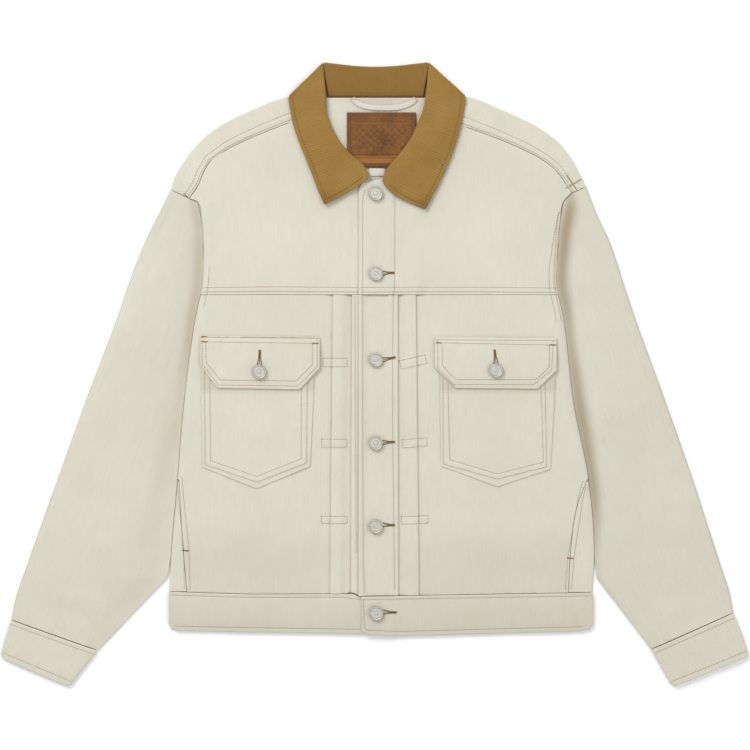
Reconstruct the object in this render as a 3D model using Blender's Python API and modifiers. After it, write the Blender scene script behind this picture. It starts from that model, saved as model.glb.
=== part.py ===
# Denim jacket with a corduroy collar, laid flat on its back.
# +X is the wearer's left, +Y points to the collar, +Z is up from the surface it lies on.
# Sizes and tables are in millimetres, and point() turns them into metres.

import math

import bpy
from mathutils import Vector
from mathutils.bvhtree import BVHTree

MM = 0.001
MIDDLE_X = 0.6            # middle of the finished part, so that the origin is under it
MIDDLE_Y = -1.8

# Walls and clearances
CLOTH = 1.2               # denim
DOUBLE = 2.4              # denim folded double: waistband, cuffs
FLAP = 2.0                # pocket flap, two cloths pressed flat
CORD = 2.4                # corduroy and its under collar
LEATHER = 2.0
TAPE = 1.0                # hanger loop and care label
SEAM = 0.3                # between pieces that meet edge to edge
REST = 0.45               # between a piece and the curved cloth it lies on

# Folds
PLEAT_RADIUS = 0.75       # middle of the wall round a pleat's fold, leaves 0.3 between layers
PLEAT_DEPTH = 8.0         # cloth hidden under each pleat
PLEAT_STACK = 4 * PLEAT_RADIUS
LAP = 1.7                 # wearer's left front over the right
LAP_CLEAR = 1.6           # at the foot of the right front, where the left one hides it
SHOULDER_RADIUS = 1.1
SIDE_RADIUS = 0.75
SLEEVE_RADIUS = 1.1
CUFF_RADIUS = 1.5
FOLD_SAG = 0.08           # the outside of the cuff's fold reaches this much below its wall
ROLL_RADIUS = 1.9         # roll line of the collar beside the neck
BACK_ROLL_RADIUS = 2.1    # roll line at the back of the neck
WRAP = 16.0               # cloth turned under at the sleeve's outer edge and the body's side

# Levels between front and back
EDGE_GAP = 0.3
CROWN = 3.3               # most that a front stands above the back
CROWN_PLACE = 0.55        # where each front is fullest, from the middle to the side
COLLAR_LIFT = 2.7         # back yoke over the part of the collar that is folded behind it
LIFTED_LEFT, LIFTED_RIGHT, LIFTED_LOW = -118.0, 124.0, 289.0
LIFT_RAMP = 62.0
SWELL_REACH = 14.0        # how far yoke and band take to settle beside the stacked pleats
BAND_FULL = 0.7           # the waistband's fronts stand this much fuller at their seam

# Heights of the body, from the collar down
YOKE_SEAM = 93.6
BACK_SEAM = 147.6
SIDE_SEAM_TOP = -130.0
HEM_SEAM = -262.8         # of the fronts, at the sides
BACK_HEM = -268.0
BAND_BACK_LOW = -307.8
BAND_BACK_LEFT, BAND_BACK_RIGHT = -243.5, 259.5
NECK_SEAM = 330.6

FREE_EDGE = -17.4         # front edge of the wearer's left front
UNDER_EDGE = 14.0         # front edge of the wearer's right front, under the other
BUTTON_X = 2.2
SHANK = 3.6                # radius of a button's foot, in which the cloth's top is looked for

# Side edges of the body: y, x on the wearer's right, x on the wearer's left
BODY_EDGE = [
    (-262.8, -245.4, 261.6),
    (-224.4, -243.6, 264.0),
    (-126.0, -235.2, 256.8),
    (-40.8, -228.0, 240.0),
    (78.0, -211.2, 224.4),
    (99.6, -206.4, 219.6),
    (150.0, -204.4, 220.2),
    (177.6, -205.2, 222.0),
    (205.0, -211.2, 226.8),
]

# Seam between front and side panel: y, x right, x left
SIDE_SEAM = [
    (-262.8, -224.4, 233.4),
    (-221.0, -228.0, 235.2),
    (-152.0, -232.6, 246.0),
    (-130.0, -233.6, 254.8),
]

# Folds of the pleats: x at the yoke seam, x at the hem seam
PLEATS = {
    "right": [(-49.2, -52.8), (-26.4, -27.6)],
    "left": [(50.4, 54.0), (28.8, 29.4)],
}

# Shoulders, from the armhole to the neck: fold on top (x, y), seam on the front (x, y)
SHOULDER = {
    "right": [
        (-243.6, 219.6, -222.0, 209.3),
        (-237.6, 237.6, -211.2, 224.4),
        (-226.8, 255.6, -205.2, 240.0),
        (-212.4, 273.6, -197.0, 255.0),
        (-192.0, 291.6, -177.6, 270.5),
        (-171.6, 303.6, -160.5, 279.8),
        (-145.2, 315.6, -135.0, 291.0),
        (-115.2, 327.6, -104.0, 305.5),
        (-88.0, 334.5, -86.0, 313.0),
    ],
    "left": [
        (254.4, 223.2, 237.6, 216.0),
        (247.2, 237.6, 228.0, 230.5),
        (237.6, 255.6, 219.5, 244.5),
        (224.4, 273.6, 206.0, 260.0),
        (201.6, 291.6, 184.8, 272.0),
        (180.0, 303.6, 168.0, 280.5),
        (152.4, 315.6, 143.0, 291.5),
        (123.6, 327.6, 113.0, 303.8),
        (95.0, 335.0, 93.0, 312.0),
    ],
}

# Neck edges of the fronts, from the shoulder seam to the front edge
NECK = {
    "right": [(-78.0, 287.0), (-60.0, 260.0), (-36.0, 243.0), (-10.0, 232.0), (14.0, 226.0)],
    "left": [(86.0, 285.0), (71.0, 260.0), (54.0, 243.5), (30.0, 235.5), (8.0, 232.5),
             (-9.0, 228.0), (-17.4, 217.0)],
}

# Sleeves, from armhole to cuff: outer edge (x, y), inner edge (x, y)
SLEEVE = {
    "right": [
        (-244.2, 217.4, -212.0, 202.2),
        (-258.0, 190.8, -205.8, 177.6),
        (-272.4, 162.0, -205.0, 150.0),
        (-296.0, 102.0, -207.0, 99.6),
        (-304.0, 78.0, -211.8, 78.0),
        (-346.0, -34.0, -228.6, -40.8),
        (-376.0, -118.0, -235.8, -126.0),
        (-409.0, -210.0, -244.2, -224.4),
        (-418.0, -236.0, -247.6, -245.0),
        (-428.0, -264.0, -289.2, -288.0),
        (-435.0, -295.2, -331.2, -332.4),
    ],
    "left": [
        (255.0, 221.0, 227.6, 204.6),
        (267.0, 190.8, 222.6, 177.6),
        (280.8, 162.0, 220.8, 150.0),
        (301.0, 102.0, 220.2, 99.6),
        (309.0, 78.0, 225.0, 78.0),
        (349.5, -34.0, 240.6, -40.8),
        (379.0, -118.0, 257.4, -126.0),
        (409.0, -210.0, 264.6, -224.4),
        (417.5, -236.0, 267.6, -247.0),
        (425.5, -260.0, 300.0, -289.2),
        (430.8, -286.8, 331.8, -331.2),
    ],
}

# Cuffs, from the seam to the end: outer edge (x, y), inner edge (x, y)
CUFF = {
    "right": [
        (-435.2, -295.9, -331.7, -333.0),
        (-443.6, -322.0, -350.5, -357.0),
        (-447.4, -337.0, -362.5, -373.4),
        (-446.0, -341.5, -367.0, -375.4),
    ],
    "left": [
        (431.0, -287.5, 332.3, -331.8),
        (442.0, -315.0, 345.5, -355.5),
        (448.6, -336.5, 356.0, -373.6),
        (447.6, -340.5, 361.0, -375.4),
    ],
}

# Collar beside the neck. roll runs from the front end up to the top, outer from the point up
COLLAR = {
    "right": {
        "roll": [(-4.8, 235.6), (-12.0, 248.4), (-28.8, 262.8), (-44.4, 283.2), (-52.5, 300.0),
                 (-56.4, 315.0), (-57.0, 330.0), (-59.0, 350.0), (-61.4, 371.8)],
        "outer": [(-59.4, 201.0), (-66.0, 216.0), (-75.6, 241.2), (-88.8, 273.6), (-95.0, 291.0),
                  (-98.6, 305.0), (-101.0, 319.0), (-102.4, 327.0), (-102.0, 332.4)],
    },
    "left": {
        "roll": [(9.6, 229.6), (12.6, 240.0), (27.6, 259.2), (44.4, 282.0), (52.0, 299.0),
                 (58.4, 315.0), (61.4, 330.0), (63.6, 350.0), (66.2, 371.8)],
        "outer": [(61.8, 195.6), (69.5, 211.0), (79.2, 229.2), (93.6, 261.6), (101.0, 284.0),
                  (105.4, 301.0), (108.4, 317.0), (109.6, 326.0), (109.2, 333.0)],
    },
}

# Back of the collar, across: stand at the neck seam x, roll (x, y), fall (x, y) half way and at its end
COLLAR_BACK = [
    (-54.6, -59.6, 372.4, -101.2, 331.0, -97.0, 304.0),
    (-40.0, -44.0, 370.6, -72.0, 326.0, -71.0, 303.0),
    (-20.0, -22.0, 368.2, -36.0, 324.0, -36.0, 302.0),
    (2.0, 2.0, 367.2, 3.0, 323.0, 3.0, 302.0),
    (24.0, 26.0, 368.2, 42.0, 324.0, 42.0, 302.0),
    (44.0, 48.0, 370.6, 79.0, 326.0, 78.0, 303.0),
    (59.2, 64.4, 372.4, 108.4, 331.8, 104.0, 304.0),
]

# Pockets and flaps: top edge and lower edge, across from left to right
POCKET = {
    "right": {
        "top": [(-207.6, 33.6), (-190.0, 33.6), (-165.0, 33.6), (-140.4, 33.6), (-115.0, 33.6),
                (-88.0, 33.6), (-69.6, 33.6)],
        "low": [(-205.2, -112.8), (-190.0, -119.0), (-165.0, -129.0), (-140.4, -138.6),
                (-115.0, -128.0), (-90.0, -117.6), (-76.2, -111.6)],
    },
    "left": {
        "top": [(78.0, 33.6), (97.0, 33.6), (122.0, 33.6), (148.0, 33.6), (173.0, 33.6),
                (200.0, 33.6), (219.6, 33.6)],
        "low": [(80.4, -111.6), (98.0, -118.0), (122.0, -127.0), (147.6, -136.2),
                (172.0, -128.0), (198.0, -119.5), (211.2, -115.2)],
    },
}
FLAP_EDGE = {
    "right": {
        "top": [(-207.6, 45.0), (-187.2, 44.8), (-162.0, 44.4), (-136.0, 44.1), (-112.0, 43.8),
                (-88.8, 43.5), (-64.8, 43.2)],
        "low": [(-207.6, 9.6), (-187.2, -18.0), (-162.0, -18.6), (-136.0, -19.0), (-112.0, -19.4),
                (-88.8, -19.8), (-64.8, 6.0)],
    },
    "left": {
        "top": [(72.8, 43.2), (97.2, 43.0), (122.0, 42.8), (146.0, 42.6), (171.0, 42.4),
                (195.6, 42.2), (218.4, 42.0)],
        "low": [(72.8, 6.0), (97.2, -18.0), (122.0, -18.4), (146.0, -18.7), (171.0, -19.0),
                (195.6, -19.2), (218.4, 3.0)],
    },
}

# Seam between fronts and waistband: x, y
HEM_LINE = {
    "right": [(-246.0, -262.2), (-200.0, -263.6), (-146.4, -265.2), (-24.0, -264.7),
              (-18.6, -268.0), (14.0, -268.0)],
    "left": [(-17.4, -267.6), (58.0, -266.6), (190.0, -264.4), (262.4, -263.2)],
}

# Lower edge of the waistband's fronts: x, y
BAND_EDGE = {
    "right": [(-246.0, -299.0), (-244.0, -305.0), (-237.0, -308.6), (-200.0, -309.6),
              (-146.4, -310.6), (-96.0, -311.3), (-66.0, -311.7), (-50.0, -312.0),
              (-24.0, -312.4), (-18.6, -312.4), (12.0, -312.6)],
    "left": [(-15.0, -309.0), (-10.0, -313.0), (12.0, -314.4), (26.0, -315.0), (40.0, -315.0),
             (54.0, -314.5), (70.0, -314.2), (110.0, -313.0), (190.0, -311.0),
             (248.0, -309.6), (259.0, -307.0), (262.4, -301.0)],
}

BUTTON_STEPS = 18
FRONT_BUTTONS = [214.8, 118.8, 15.6, -84.0, -183.6, -287.3]
FLAP_BUTTONS = {"right": (-136.8, 1.2), "left": (145.7, 3.0)}

# Turned shape of a shank button: radius, height
BUTTON_PROFILE = [
    (0.0, 4.0), (4.2, 4.0), (5.0, 4.6), (7.2, 4.8), (8.1, 4.5), (8.4, 3.8),
    (8.1, 3.0), (3.6, 2.4), (3.6, 0.4), (0.0, 0.4),
]

# Inside the back neck
PATCH_LEFT, PATCH_RIGHT = -32.4, 50.4
PATCH_LOW, PATCH_HIGH = 246.0, 312.0
LABEL_LEFT, LABEL_RIGHT = -6.0, 13.0
LABEL_LOW, LABEL_HIGH = 236.0, 245.4
LOOP_WIDTH = 6.0
LOOP_PATH = [(-26.0, 327.0), (-17.0, 322.0), (-6.0, 318.6), (12.0, 317.6), (30.0, 318.6),
             (41.0, 322.0), (50.0, 326.6)]


def point(x, y, z):
    return Vector(((x - MIDDLE_X) * MM, (y - MIDDLE_Y) * MM, z * MM))


def smooth(t):
    t = max(0.0, min(1.0, t))
    return t * t * (3.0 - 2.0 * t)


def mix(a, b, t):
    return a + (b - a) * t


def lookUp(table, y, column):
    """Value of a column at height y, in straight stretches between the table's rows."""
    rows = sorted(table)
    for low, high in zip(rows, rows[1:]):
        if y <= high[0] or high is rows[-1]:
            t = (y - low[0]) / (high[0] - low[0])
            return mix(low[column], high[column], max(0.0, min(1.0, t)))
    return rows[-1][column]


def shares(points):
    """Share of the whole length at each point of a line."""
    lengths = [0.0]
    for a, b in zip(points, points[1:]):
        lengths.append(lengths[-1] + math.dist(a, b))
    return [length / lengths[-1] for length in lengths]


def patch(bottom, top, left, right):
    """Rows of plan points filling four edges that meet at their ends."""
    us = shares(bottom)
    vs = shares(left)
    rows = []
    for j, v in enumerate(vs):
        row = []
        for i, u in enumerate(us):
            xy = []
            for axis in (0, 1):
                ruled = mix(bottom[i][axis], top[i][axis], v) + mix(left[j][axis], right[j][axis], u)
                low = mix(bottom[0][axis], bottom[-1][axis], u)
                high = mix(top[0][axis], top[-1][axis], u)
                xy.append(ruled - mix(low, high, v))
            row.append(tuple(xy))
        rows.append(row)
    return rows


def straight(start, end, count):
    """Evenly spaced points on a straight line."""
    steps = [i / (count - 1) for i in range(count)]
    return [(mix(start[0], end[0], t), mix(start[1], end[1], t)) for t in steps]


def material(name, colour, roughness, metallic=0.0):
    made = bpy.data.materials.new(name)
    made.use_nodes = True
    shader = made.node_tree.nodes["Principled BSDF"]
    shader.inputs["Base Color"].default_value = (*colour, 1.0)
    shader.inputs["Roughness"].default_value = roughness
    shader.inputs["Metallic"].default_value = metallic
    return made


def ecruDenim(name):
    return material(name + "_denim", (0.74, 0.70, 0.60), 0.85)


def camelCorduroy(name):
    return material(name + "_corduroy", (0.33, 0.19, 0.06), 0.9)


def brownLeather(name):
    return material(name + "_leather", (0.24, 0.09, 0.04), 0.5)


def whiteTape(name):
    return material(name + "_tape", (0.80, 0.78, 0.74), 0.8)


def pewter(name):
    return material(name + "_metal", (0.56, 0.55, 0.50), 0.35, 1.0)


def addSheet(name, rows, wall, side, finish, closed=False):
    """Solid cloth from rows of points: side 1 thickens upwards, 0 to both sides."""
    points = []
    index = []
    for row in rows:
        index.append(range(len(points), len(points) + len(row)))
        points.extend(point(*p) for p in row)
    faces = []
    for low, high in zip(index, index[1:]):
        for i in range(min(len(low), len(high)) - 1):
            faces.append((low[i], low[i + 1], high[i + 1], high[i]))
        if closed:
            faces.append((low[-1], low[0], high[0], high[-1]))
    mesh = bpy.data.meshes.new(name)
    mesh.from_pydata(points, [], faces)
    mesh.shade_smooth()
    made = bpy.data.objects.new(name, mesh)
    made.data.materials.append(finish(name))
    jacket.objects.link(made)
    shell = made.modifiers.new("wall", "SOLIDIFY")
    shell.thickness = wall * MM
    shell.offset = side
    shell.use_even_offset = True
    return made


def fold(centre, low, radius, away, steps=4):
    """Points round a fold that opens along away, from its lower wall to its upper one."""
    arc = []
    for k in range(steps + 1):
        angle = math.pi * k / steps
        reach = radius * math.sin(angle)
        arc.append((centre[0] - away[0] * reach, centre[1] - away[1] * reach,
                    low + radius - radius * math.cos(angle)))
    return arc


def edgeX(side, y):
    column = 1 if side == "right" else 2
    return lookUp(BODY_EDGE, y, column)


def hemY(side, x):
    return lookUp(HEM_LINE[side], x, 1)


def lift(x, y):
    """Height of the back over the part of the collar that is folded behind it."""
    outside = max(LIFTED_LEFT - x, x - LIFTED_RIGHT, LIFTED_LOW - y, 0.0)
    return COLLAR_LIFT * (1.0 - smooth(outside / LIFT_RAMP))


def crown(x, y):
    """Gap between back and front: flat at the sides, fullest in the middle of each front."""
    left, right = edgeX("right", y), edgeX("left", y)
    middle = (left + right) / 2
    across = min(1.0, abs(x - middle) / ((right - left) / 2))
    if across < CROWN_PLACE:
        lobe = 0.8 + 0.2 * math.cos(math.pi * (across / CROWN_PLACE - 1.0))
    else:
        lobe = 1.0 - ((across - CROWN_PLACE) / (1.0 - CROWN_PLACE)) ** 3
    down = mix(0.4, 1.0, smooth((y - HEM_SEAM) / 140.0))
    up = 1.0 - smooth((y - 110.0) / 90.0)
    shoulder_gap = 0.7 * smooth((y - 120.0) / 90.0)
    return EDGE_GAP + max(CROWN * lobe * down * up, shoulder_gap)


def frontUnder(x, y):
    return lift(x, y) + CLOTH + crown(x, y)


def frontMiddle(x, y):
    return frontUnder(x, y) + CLOTH / 2


def swell(x, y):
    """Rise of yoke and waistband over the stacked cloth of the pleats."""
    inner = PLEATS["right"][0][0], PLEATS["left"][0][0]
    beside = max(inner[0] - x, x - inner[1], 0.0)
    across = 1.0 - smooth(beside / SWELL_REACH)
    above = 1.0 - smooth((y - YOKE_SEAM) / 60.0)
    below = 1.0 - smooth((HEM_SEAM - y) / 34.0)
    return PLEAT_STACK * across * (above if y > 0 else below * 0.5)


def lapRise(x):
    return LAP * (1.0 - smooth((x - UNDER_EDGE - 1.0) / 24.0))


def rightTop(x, y):
    return frontUnder(x, y) + CLOTH + swell(x, y)


def frontTop(side, x, y):
    lap = lapRise(x) if side == "left" else 0.0
    return rightTop(x, y) + lap


# Back

def backYoke():
    """Back yoke, turned over both shoulders down to the front shoulder seams."""
    right = SHOULDER["right"]
    left = SHOULDER["left"][::-1]
    neck = [(-57.0, NECK_SEAM), (-28.0, NECK_SEAM), (2.0, NECK_SEAM), (32.0, NECK_SEAM),
            (62.0, NECK_SEAM)]
    back_off = SHOULDER_RADIUS + CLOTH / 2
    columns = []
    for x, y, seam_x, seam_y in right + [(x, y, None, None) for x, y in neck] + left:
        away = (0.0, -1.0)
        if seam_x is not None:
            across = Vector((seam_x - x, seam_y - y)).normalized()
            away = (across.x, across.y)
            x, y = x + away[0] * back_off, y + away[1] * back_off
        columns.append((x, y, away, seam_x, seam_y))
    top = [(x, y) for x, y, away, seam_x, seam_y in columns]
    first, last = top[0], top[-1]
    heights = [164.0, 177.6, 191.0, 205.0]
    right_edge = [(edgeX("right", BACK_SEAM) + 1.0, BACK_SEAM + SEAM)]
    left_edge = [(edgeX("left", BACK_SEAM) - 1.0, BACK_SEAM + SEAM)]
    for y in heights:
        right_edge.append((edgeX("right", y) + 1.5, y))
        left_edge.append((edgeX("left", y) - 1.5, y))
    span = top[-1][0] - top[0][0]
    width = left_edge[0][0] - right_edge[0][0]
    bottom = [(right_edge[0][0] + (x - first[0]) / span * width, BACK_SEAM + SEAM) for x, y in top]
    steps = 6
    right_side = right_edge + straight(right_edge[-1], first, steps)[1:]
    left_side = left_edge + straight(left_edge[-1], last, steps)[1:]
    plan = patch(bottom, top, right_side, left_side)
    sheets = []
    for i, (x, y, away, seam_x, seam_y) in enumerate(columns):
        column = []
        for row in plan:
            px, py = row[i]
            column.append((px, py, lift(px, py) + CLOTH / 2))
        if seam_x is not None:
            base = lift(x, y) + CLOTH / 2
            column.extend(fold((x, y), base, SHOULDER_RADIUS, away)[1:])
            for t in (0.35, 0.7, 1.0):
                sx, sy = mix(x, seam_x, t), mix(y, seam_y, t)
                sx -= away[0] * SEAM / 2 * t
                sy -= away[1] * SEAM / 2 * t
                column.append((sx, sy, lift(sx, sy) + CLOTH / 2 + 2 * SHOULDER_RADIUS))
        sheets.append(column)
    return addSheet("back_yoke", sheets, CLOTH, 0, ecruDenim)


def backPanel():
    """Back below the yoke, drawn in at the foot where the side panels turn under."""
    rows = []
    for y in (BACK_HEM + SEAM, -200.0, -128.6, -122.0, -40.8, 78.0, 99.6, BACK_SEAM - SEAM):
        inset = WRAP + 2.0 if y < -126.0 else 1.0
        low, high = edgeX("right", y) + inset, edgeX("left", y) - inset
        rows.append([(mix(low, high, i / 6), y, 0.0) for i in range(7)])
    return addSheet("back_panel", rows, CLOTH, 1, ecruDenim)


# Fronts

def frontYoke(side):
    shoulder = SHOULDER[side]
    top = []
    for x, y, seam_x, seam_y in shoulder:
        down = Vector((seam_x - x, seam_y - y)).normalized() * SEAM
        top.append((seam_x + down.x, seam_y + down.y))
    top.extend(NECK[side])
    centre = top[-1][0]
    low_y = YOKE_SEAM + SEAM / 2
    armhole = [(edgeX(side, low_y), low_y)]
    for y in (99.6, 120.0, 135.0, 150.0, 164.0, 177.6, 191.0, 205.0):
        armhole.append((edgeX(side, y), y))
    armhole.append(top[0])
    share = (centre - armhole[0][0]) / (centre - top[0][0])
    bottom = [(centre + (x - centre) * share, low_y) for x, y in top]
    front = [(centre, mix(low_y, top[-1][1], t)) for t in shares(armhole)]
    plan = patch(bottom, top, armhole, front)
    rows = []
    for line in plan:
        row = [(x, y, frontTop(side, x, y) - CLOTH) for x, y in line]
        rows.append(row if side == "right" else row[::-1])
    return addSheet("front_yoke_" + side, rows, CLOTH, 1, ecruDenim)


def pleat(fold_x, end_level, towards):
    """Section of one knife pleat: distance towards the front edge, height."""
    start = PLEAT_RADIUS + CLOTH / 2
    section = []
    for x, y, z in fold((PLEAT_DEPTH, 0.0), 0.0, PLEAT_RADIUS, (-1.0, 0.0)):
        section.append((x, z))
    for x, y, z in fold((start, 0.0), 2 * PLEAT_RADIUS, PLEAT_RADIUS, (1.0, 0.0)):
        section.append((x, z))
    section.append((PLEAT_DEPTH + 2.5, PLEAT_STACK))
    section.append((PLEAT_DEPTH + 10.0, end_level))
    return [(fold_x + towards * x, z) for x, z in section]


def frontPanel(side):
    """Front below the yoke, with two pleats beside the front edge."""
    towards = 1 if side == "right" else -1
    rows = []
    for y in (HEM_SEAM, -221.0, -190.0, -152.0, SIDE_SEAM_TOP, -126.0, -84.0, -40.8, 20.0, 78.0,
              YOKE_SEAM - SEAM / 2):
        column = 1 if side == "right" else 2
        seam = lookUp(SIDE_SEAM, y, column) + towards * SEAM
        start = seam if y < SIDE_SEAM_TOP + 1.0 else edgeX(side, y)
        t = (YOKE_SEAM - y) / (YOKE_SEAM - HEM_SEAM)
        outer, inner = [mix(top, low, t) for top, low in PLEATS[side]]
        section = []
        for share in (0.0, 0.04, 0.1, 0.2, 0.35, 0.5, 0.65, 0.82):
            section.append((mix(start, outer, share), 0.0))
        section += pleat(outer, 0.0, towards)
        if side == "right":
            section += pleat(inner, 0.0, towards)
            section += [(mix(section[-1][0], UNDER_EDGE, k / 2), 0.0) for k in (1, 2)]
        else:
            section += pleat(inner, LAP, towards)[:-1]
            section.append((UNDER_EDGE + 1.0, LAP))
            overlap = PLEATS["right"][1][0] + PLEAT_DEPTH
            section.append((overlap + 10.0, LAP))
            section.append((overlap + 2.0, LAP + PLEAT_STACK))
            section.append((FREE_EDGE, LAP + PLEAT_STACK))
        row = []
        for x, z in section:
            lapped = side == "right" and x > PLEATS[side][1][1] - 3.0
            place = hemY(side, x) + (LAP_CLEAR if lapped else SEAM) if y == HEM_SEAM else y
            row.append((x, place, frontMiddle(x, place) + z))
        rows.append(row if side == "right" else row[::-1])
    return addSheet("front_panel_" + side, rows, CLOTH, 0, ecruDenim)


def sidePanel(side):
    """Strip between front and back that turns under at the side."""
    column = 1 if side == "right" else 2
    inward = 1 if side == "right" else -1
    rows = []
    for y in (hemY(side, edgeX(side, HEM_SEAM)) + SEAM, -221.0, -190.0, -152.0, SIDE_SEAM_TOP):
        edge = edgeX(side, y)
        seam = lookUp(SIDE_SEAM, y, column)
        centre = edge + inward * (SIDE_RADIUS + CLOTH / 2)
        row = [(edge + inward * x, y, CLOTH / 2) for x in (WRAP, WRAP / 2)]
        row += fold((centre, y), CLOTH / 2, SIDE_RADIUS, (inward, 0.0))
        for t in (0.5, 1.0):
            x = mix(centre, seam, t)
            if inward * (x - centre) > 0.2:
                row.append((x, y, frontMiddle(x, y)))
            else:
                row.append((centre + inward * 0.4 * t, y, CLOTH / 2 + 2 * SIDE_RADIUS))
        rows.append(row if side == "right" else row[::-1])
    return addSheet("side_panel_" + side, rows, CLOTH, 0, ecruDenim)


# Waistband

def waistband():
    made = []
    rows = []
    for y in (BAND_BACK_LOW, BACK_HEM):
        rows.append([(mix(BAND_BACK_LEFT, BAND_BACK_RIGHT, i / 6), y, 0.0) for i in range(7)])
    made.append(addSheet("waistband_back", rows, DOUBLE, 1, ecruDenim))
    for side in ("right", "left"):
        rows = []
        for t in (0.0, 0.12, 0.5, 0.88, 1.0):
            row = []
            for x, low in BAND_EDGE[side]:
                y = mix(low, hemY(side, x), t)
                over = (DOUBLE + REST) / LAP * lapRise(x) if side == "left" else 0.0
                full = BAND_FULL * smooth(t) * (1.0 - smooth((abs(x) - 180.0) / 60.0))
                row.append((x, y, DOUBLE + SEAM + full + over + swell(x, y)))
            rows.append(row)
        made.append(addSheet("waistband_" + side, rows, DOUBLE, 1, ecruDenim))
    return made


# Sleeves and cuffs

def sleeve(side):
    """Top sleeve turned under at its outer edge, and the under sleeve that meets it there."""
    outward = -1 if side == "right" else 1
    tops, unders = [], []
    table = SLEEVE[side]
    for k, (ox, oy, ix, iy) in enumerate(table):
        down = k / (len(table) - 1)
        across = Vector((ix - ox, iy - oy))
        width = across.length
        away = tuple(across.normalized())
        start = SLEEVE_RADIUS + CLOTH / 2
        wrap = min(WRAP, width * 0.45)
        row = [(ox + away[0] * d, oy + away[1] * d, CLOTH / 2) for d in (wrap, wrap * 0.6)]
        centre = (ox + away[0] * start, oy + away[1] * start)
        row += fold(centre, CLOTH / 2, SLEEVE_RADIUS, away)
        full = mix(0.5, 1.0, smooth(min(down, 1.0 - down) / 0.25))
        for t in (0.1, 0.22, 0.36, 0.5, 0.64, 0.78, 0.9, 1.0):
            d = mix(start, width, t)
            gap = EDGE_GAP + 0.7 * (1.0 - t) + 2.7 * full * math.sin(math.pi * t)
            row.append((ox + away[0] * d, oy + away[1] * d, CLOTH * 1.5 + gap))
        tops.append(row)
        low = []
        for t in (0.0, 0.25, 0.5, 0.75, 1.0):
            d = mix(wrap + SEAM, width, t)
            low.append((ox + away[0] * d, oy + away[1] * d, 0.0))
        unders.append(low)
    if outward < 0:
        tops, unders = tops[::-1], unders[::-1]
    return [addSheet("topsleeve_" + side, tops, CLOTH, 0, ecruDenim),
            addSheet("undersleeve_" + side, unders, CLOTH, 1, ecruDenim)]


def cuff(side):
    """Flattened band, open at both ends."""
    start = CUFF_RADIUS + DOUBLE / 2
    base = DOUBLE / 2 + FOLD_SAG
    rings = []
    for ox, oy, ix, iy in CUFF[side]:
        across = Vector((ix - ox, iy - oy))
        away = tuple(across.normalized())
        back = (-away[0], -away[1])
        outer = (ox + away[0] * start, oy + away[1] * start)
        inner = (ix + back[0] * start, iy + back[1] * start)
        ring = fold(outer, base, CUFF_RADIUS, away)
        for t in (0.25, 0.5, 0.75):
            ring.append((mix(outer[0], inner[0], t), mix(outer[1], inner[1], t),
                         base + 2 * CUFF_RADIUS))
        ring += fold(inner, base, CUFF_RADIUS, back)[::-1]
        for t in (0.75, 0.5, 0.25):
            ring.append((mix(outer[0], inner[0], t), mix(outer[1], inner[1], t), base))
        rings.append(ring)
    if side == "right":
        rings = rings[::-1]
    return addSheet("cuff_" + side, rings, DOUBLE, 0, ecruDenim, closed=True)


# Collar

def collarBase(side, x, y):
    """Top of the cloth under the collar, falling behind the neck to the folded part."""
    under = frontTop(side, x, y)
    if side == "right":
        under += LAP * smooth((x + 34.0) / 14.0) * (1.0 - smooth((y - 236.0) / 20.0))
    return mix(under, CORD, smooth((y - 338.0) / 16.0))


def collarSide(side):
    """Stand and fall beside the neck, folded at the roll line."""
    shape = COLLAR[side]
    count = 6
    front = straight(shape["roll"][0], shape["outer"][0], count)
    crease = straight(shape["roll"][-1], shape["outer"][-1], count)
    plan = patch(front, crease, shape["roll"], shape["outer"])
    rows = []
    for k, line in enumerate(plan):
        up = k / (len(plan) - 1)
        across = Vector(line[-1]) - Vector(line[0])
        width = across.length
        away = tuple(across.normalized())
        start = ROLL_RADIUS + CORD / 2
        centre = (line[0][0] + away[0] * start, line[0][1] + away[1] * start)
        stand = mix(7.0, 27.0, smooth(up / 0.6))
        row = []
        for t in (1.0, 0.5):
            x, y = centre[0] + away[0] * stand * t, centre[1] + away[1] * stand * t
            row.append((x, y, collarBase(side, x, y) + REST + CORD / 2))
        base = collarBase(side, *centre) + REST + CORD / 2
        row += fold(centre, base, ROLL_RADIUS, away)
        beyond = start + stand
        for i in range(1, count):
            x, y = line[i]
            d = max(math.dist(line[0], line[i]), start + 1.0)
            raised = 1.0 - smooth((d - beyond + 4.0) / (width - beyond + 4.0))
            z = collarBase(side, x, y) + REST + CORD / 2 + 2 * ROLL_RADIUS * raised
            row.append((x, y, z))
        rows.append(row)
    if side == "right":
        rows = rows[::-1]
    return addSheet("collar_" + side, rows, CORD, 0, camelCorduroy)


def collarBack():
    """Stand that shows inside the neck and the fall folded behind it, under the back yoke."""
    low = CORD / 2
    high = low + 2 * BACK_ROLL_RADIUS
    start = BACK_ROLL_RADIUS + CORD / 2
    rows = []
    for stand_x, roll_x, roll_y, mid_x, mid_y, end_x, end_y in COLLAR_BACK:
        row = [(end_x, end_y, low), (mid_x, mid_y, low)]
        down_fall = Vector((mid_x - roll_x, mid_y - roll_y)).normalized()
        down_stand = Vector((stand_x - roll_x, NECK_SEAM - roll_y)).normalized()
        away = tuple((down_fall + down_stand).normalized())
        centre = (roll_x + away[0] * start, roll_y + away[1] * start)
        row += fold(centre, low, BACK_ROLL_RADIUS, away, 6)
        for t in (0.35, 0.7, 1.0):
            x, y = mix(centre[0], stand_x, t), mix(centre[1], NECK_SEAM + 2 * SEAM, t)
            row.append((x, y, mix(high, COLLAR_LIFT + CORD / 2, t)))
        rows.append(row)
    return addSheet("collar_back", rows, CORD, 0, camelCorduroy)


# Pockets

def panelTop(x, y):
    return frontUnder(x, y) + CLOTH


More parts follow.
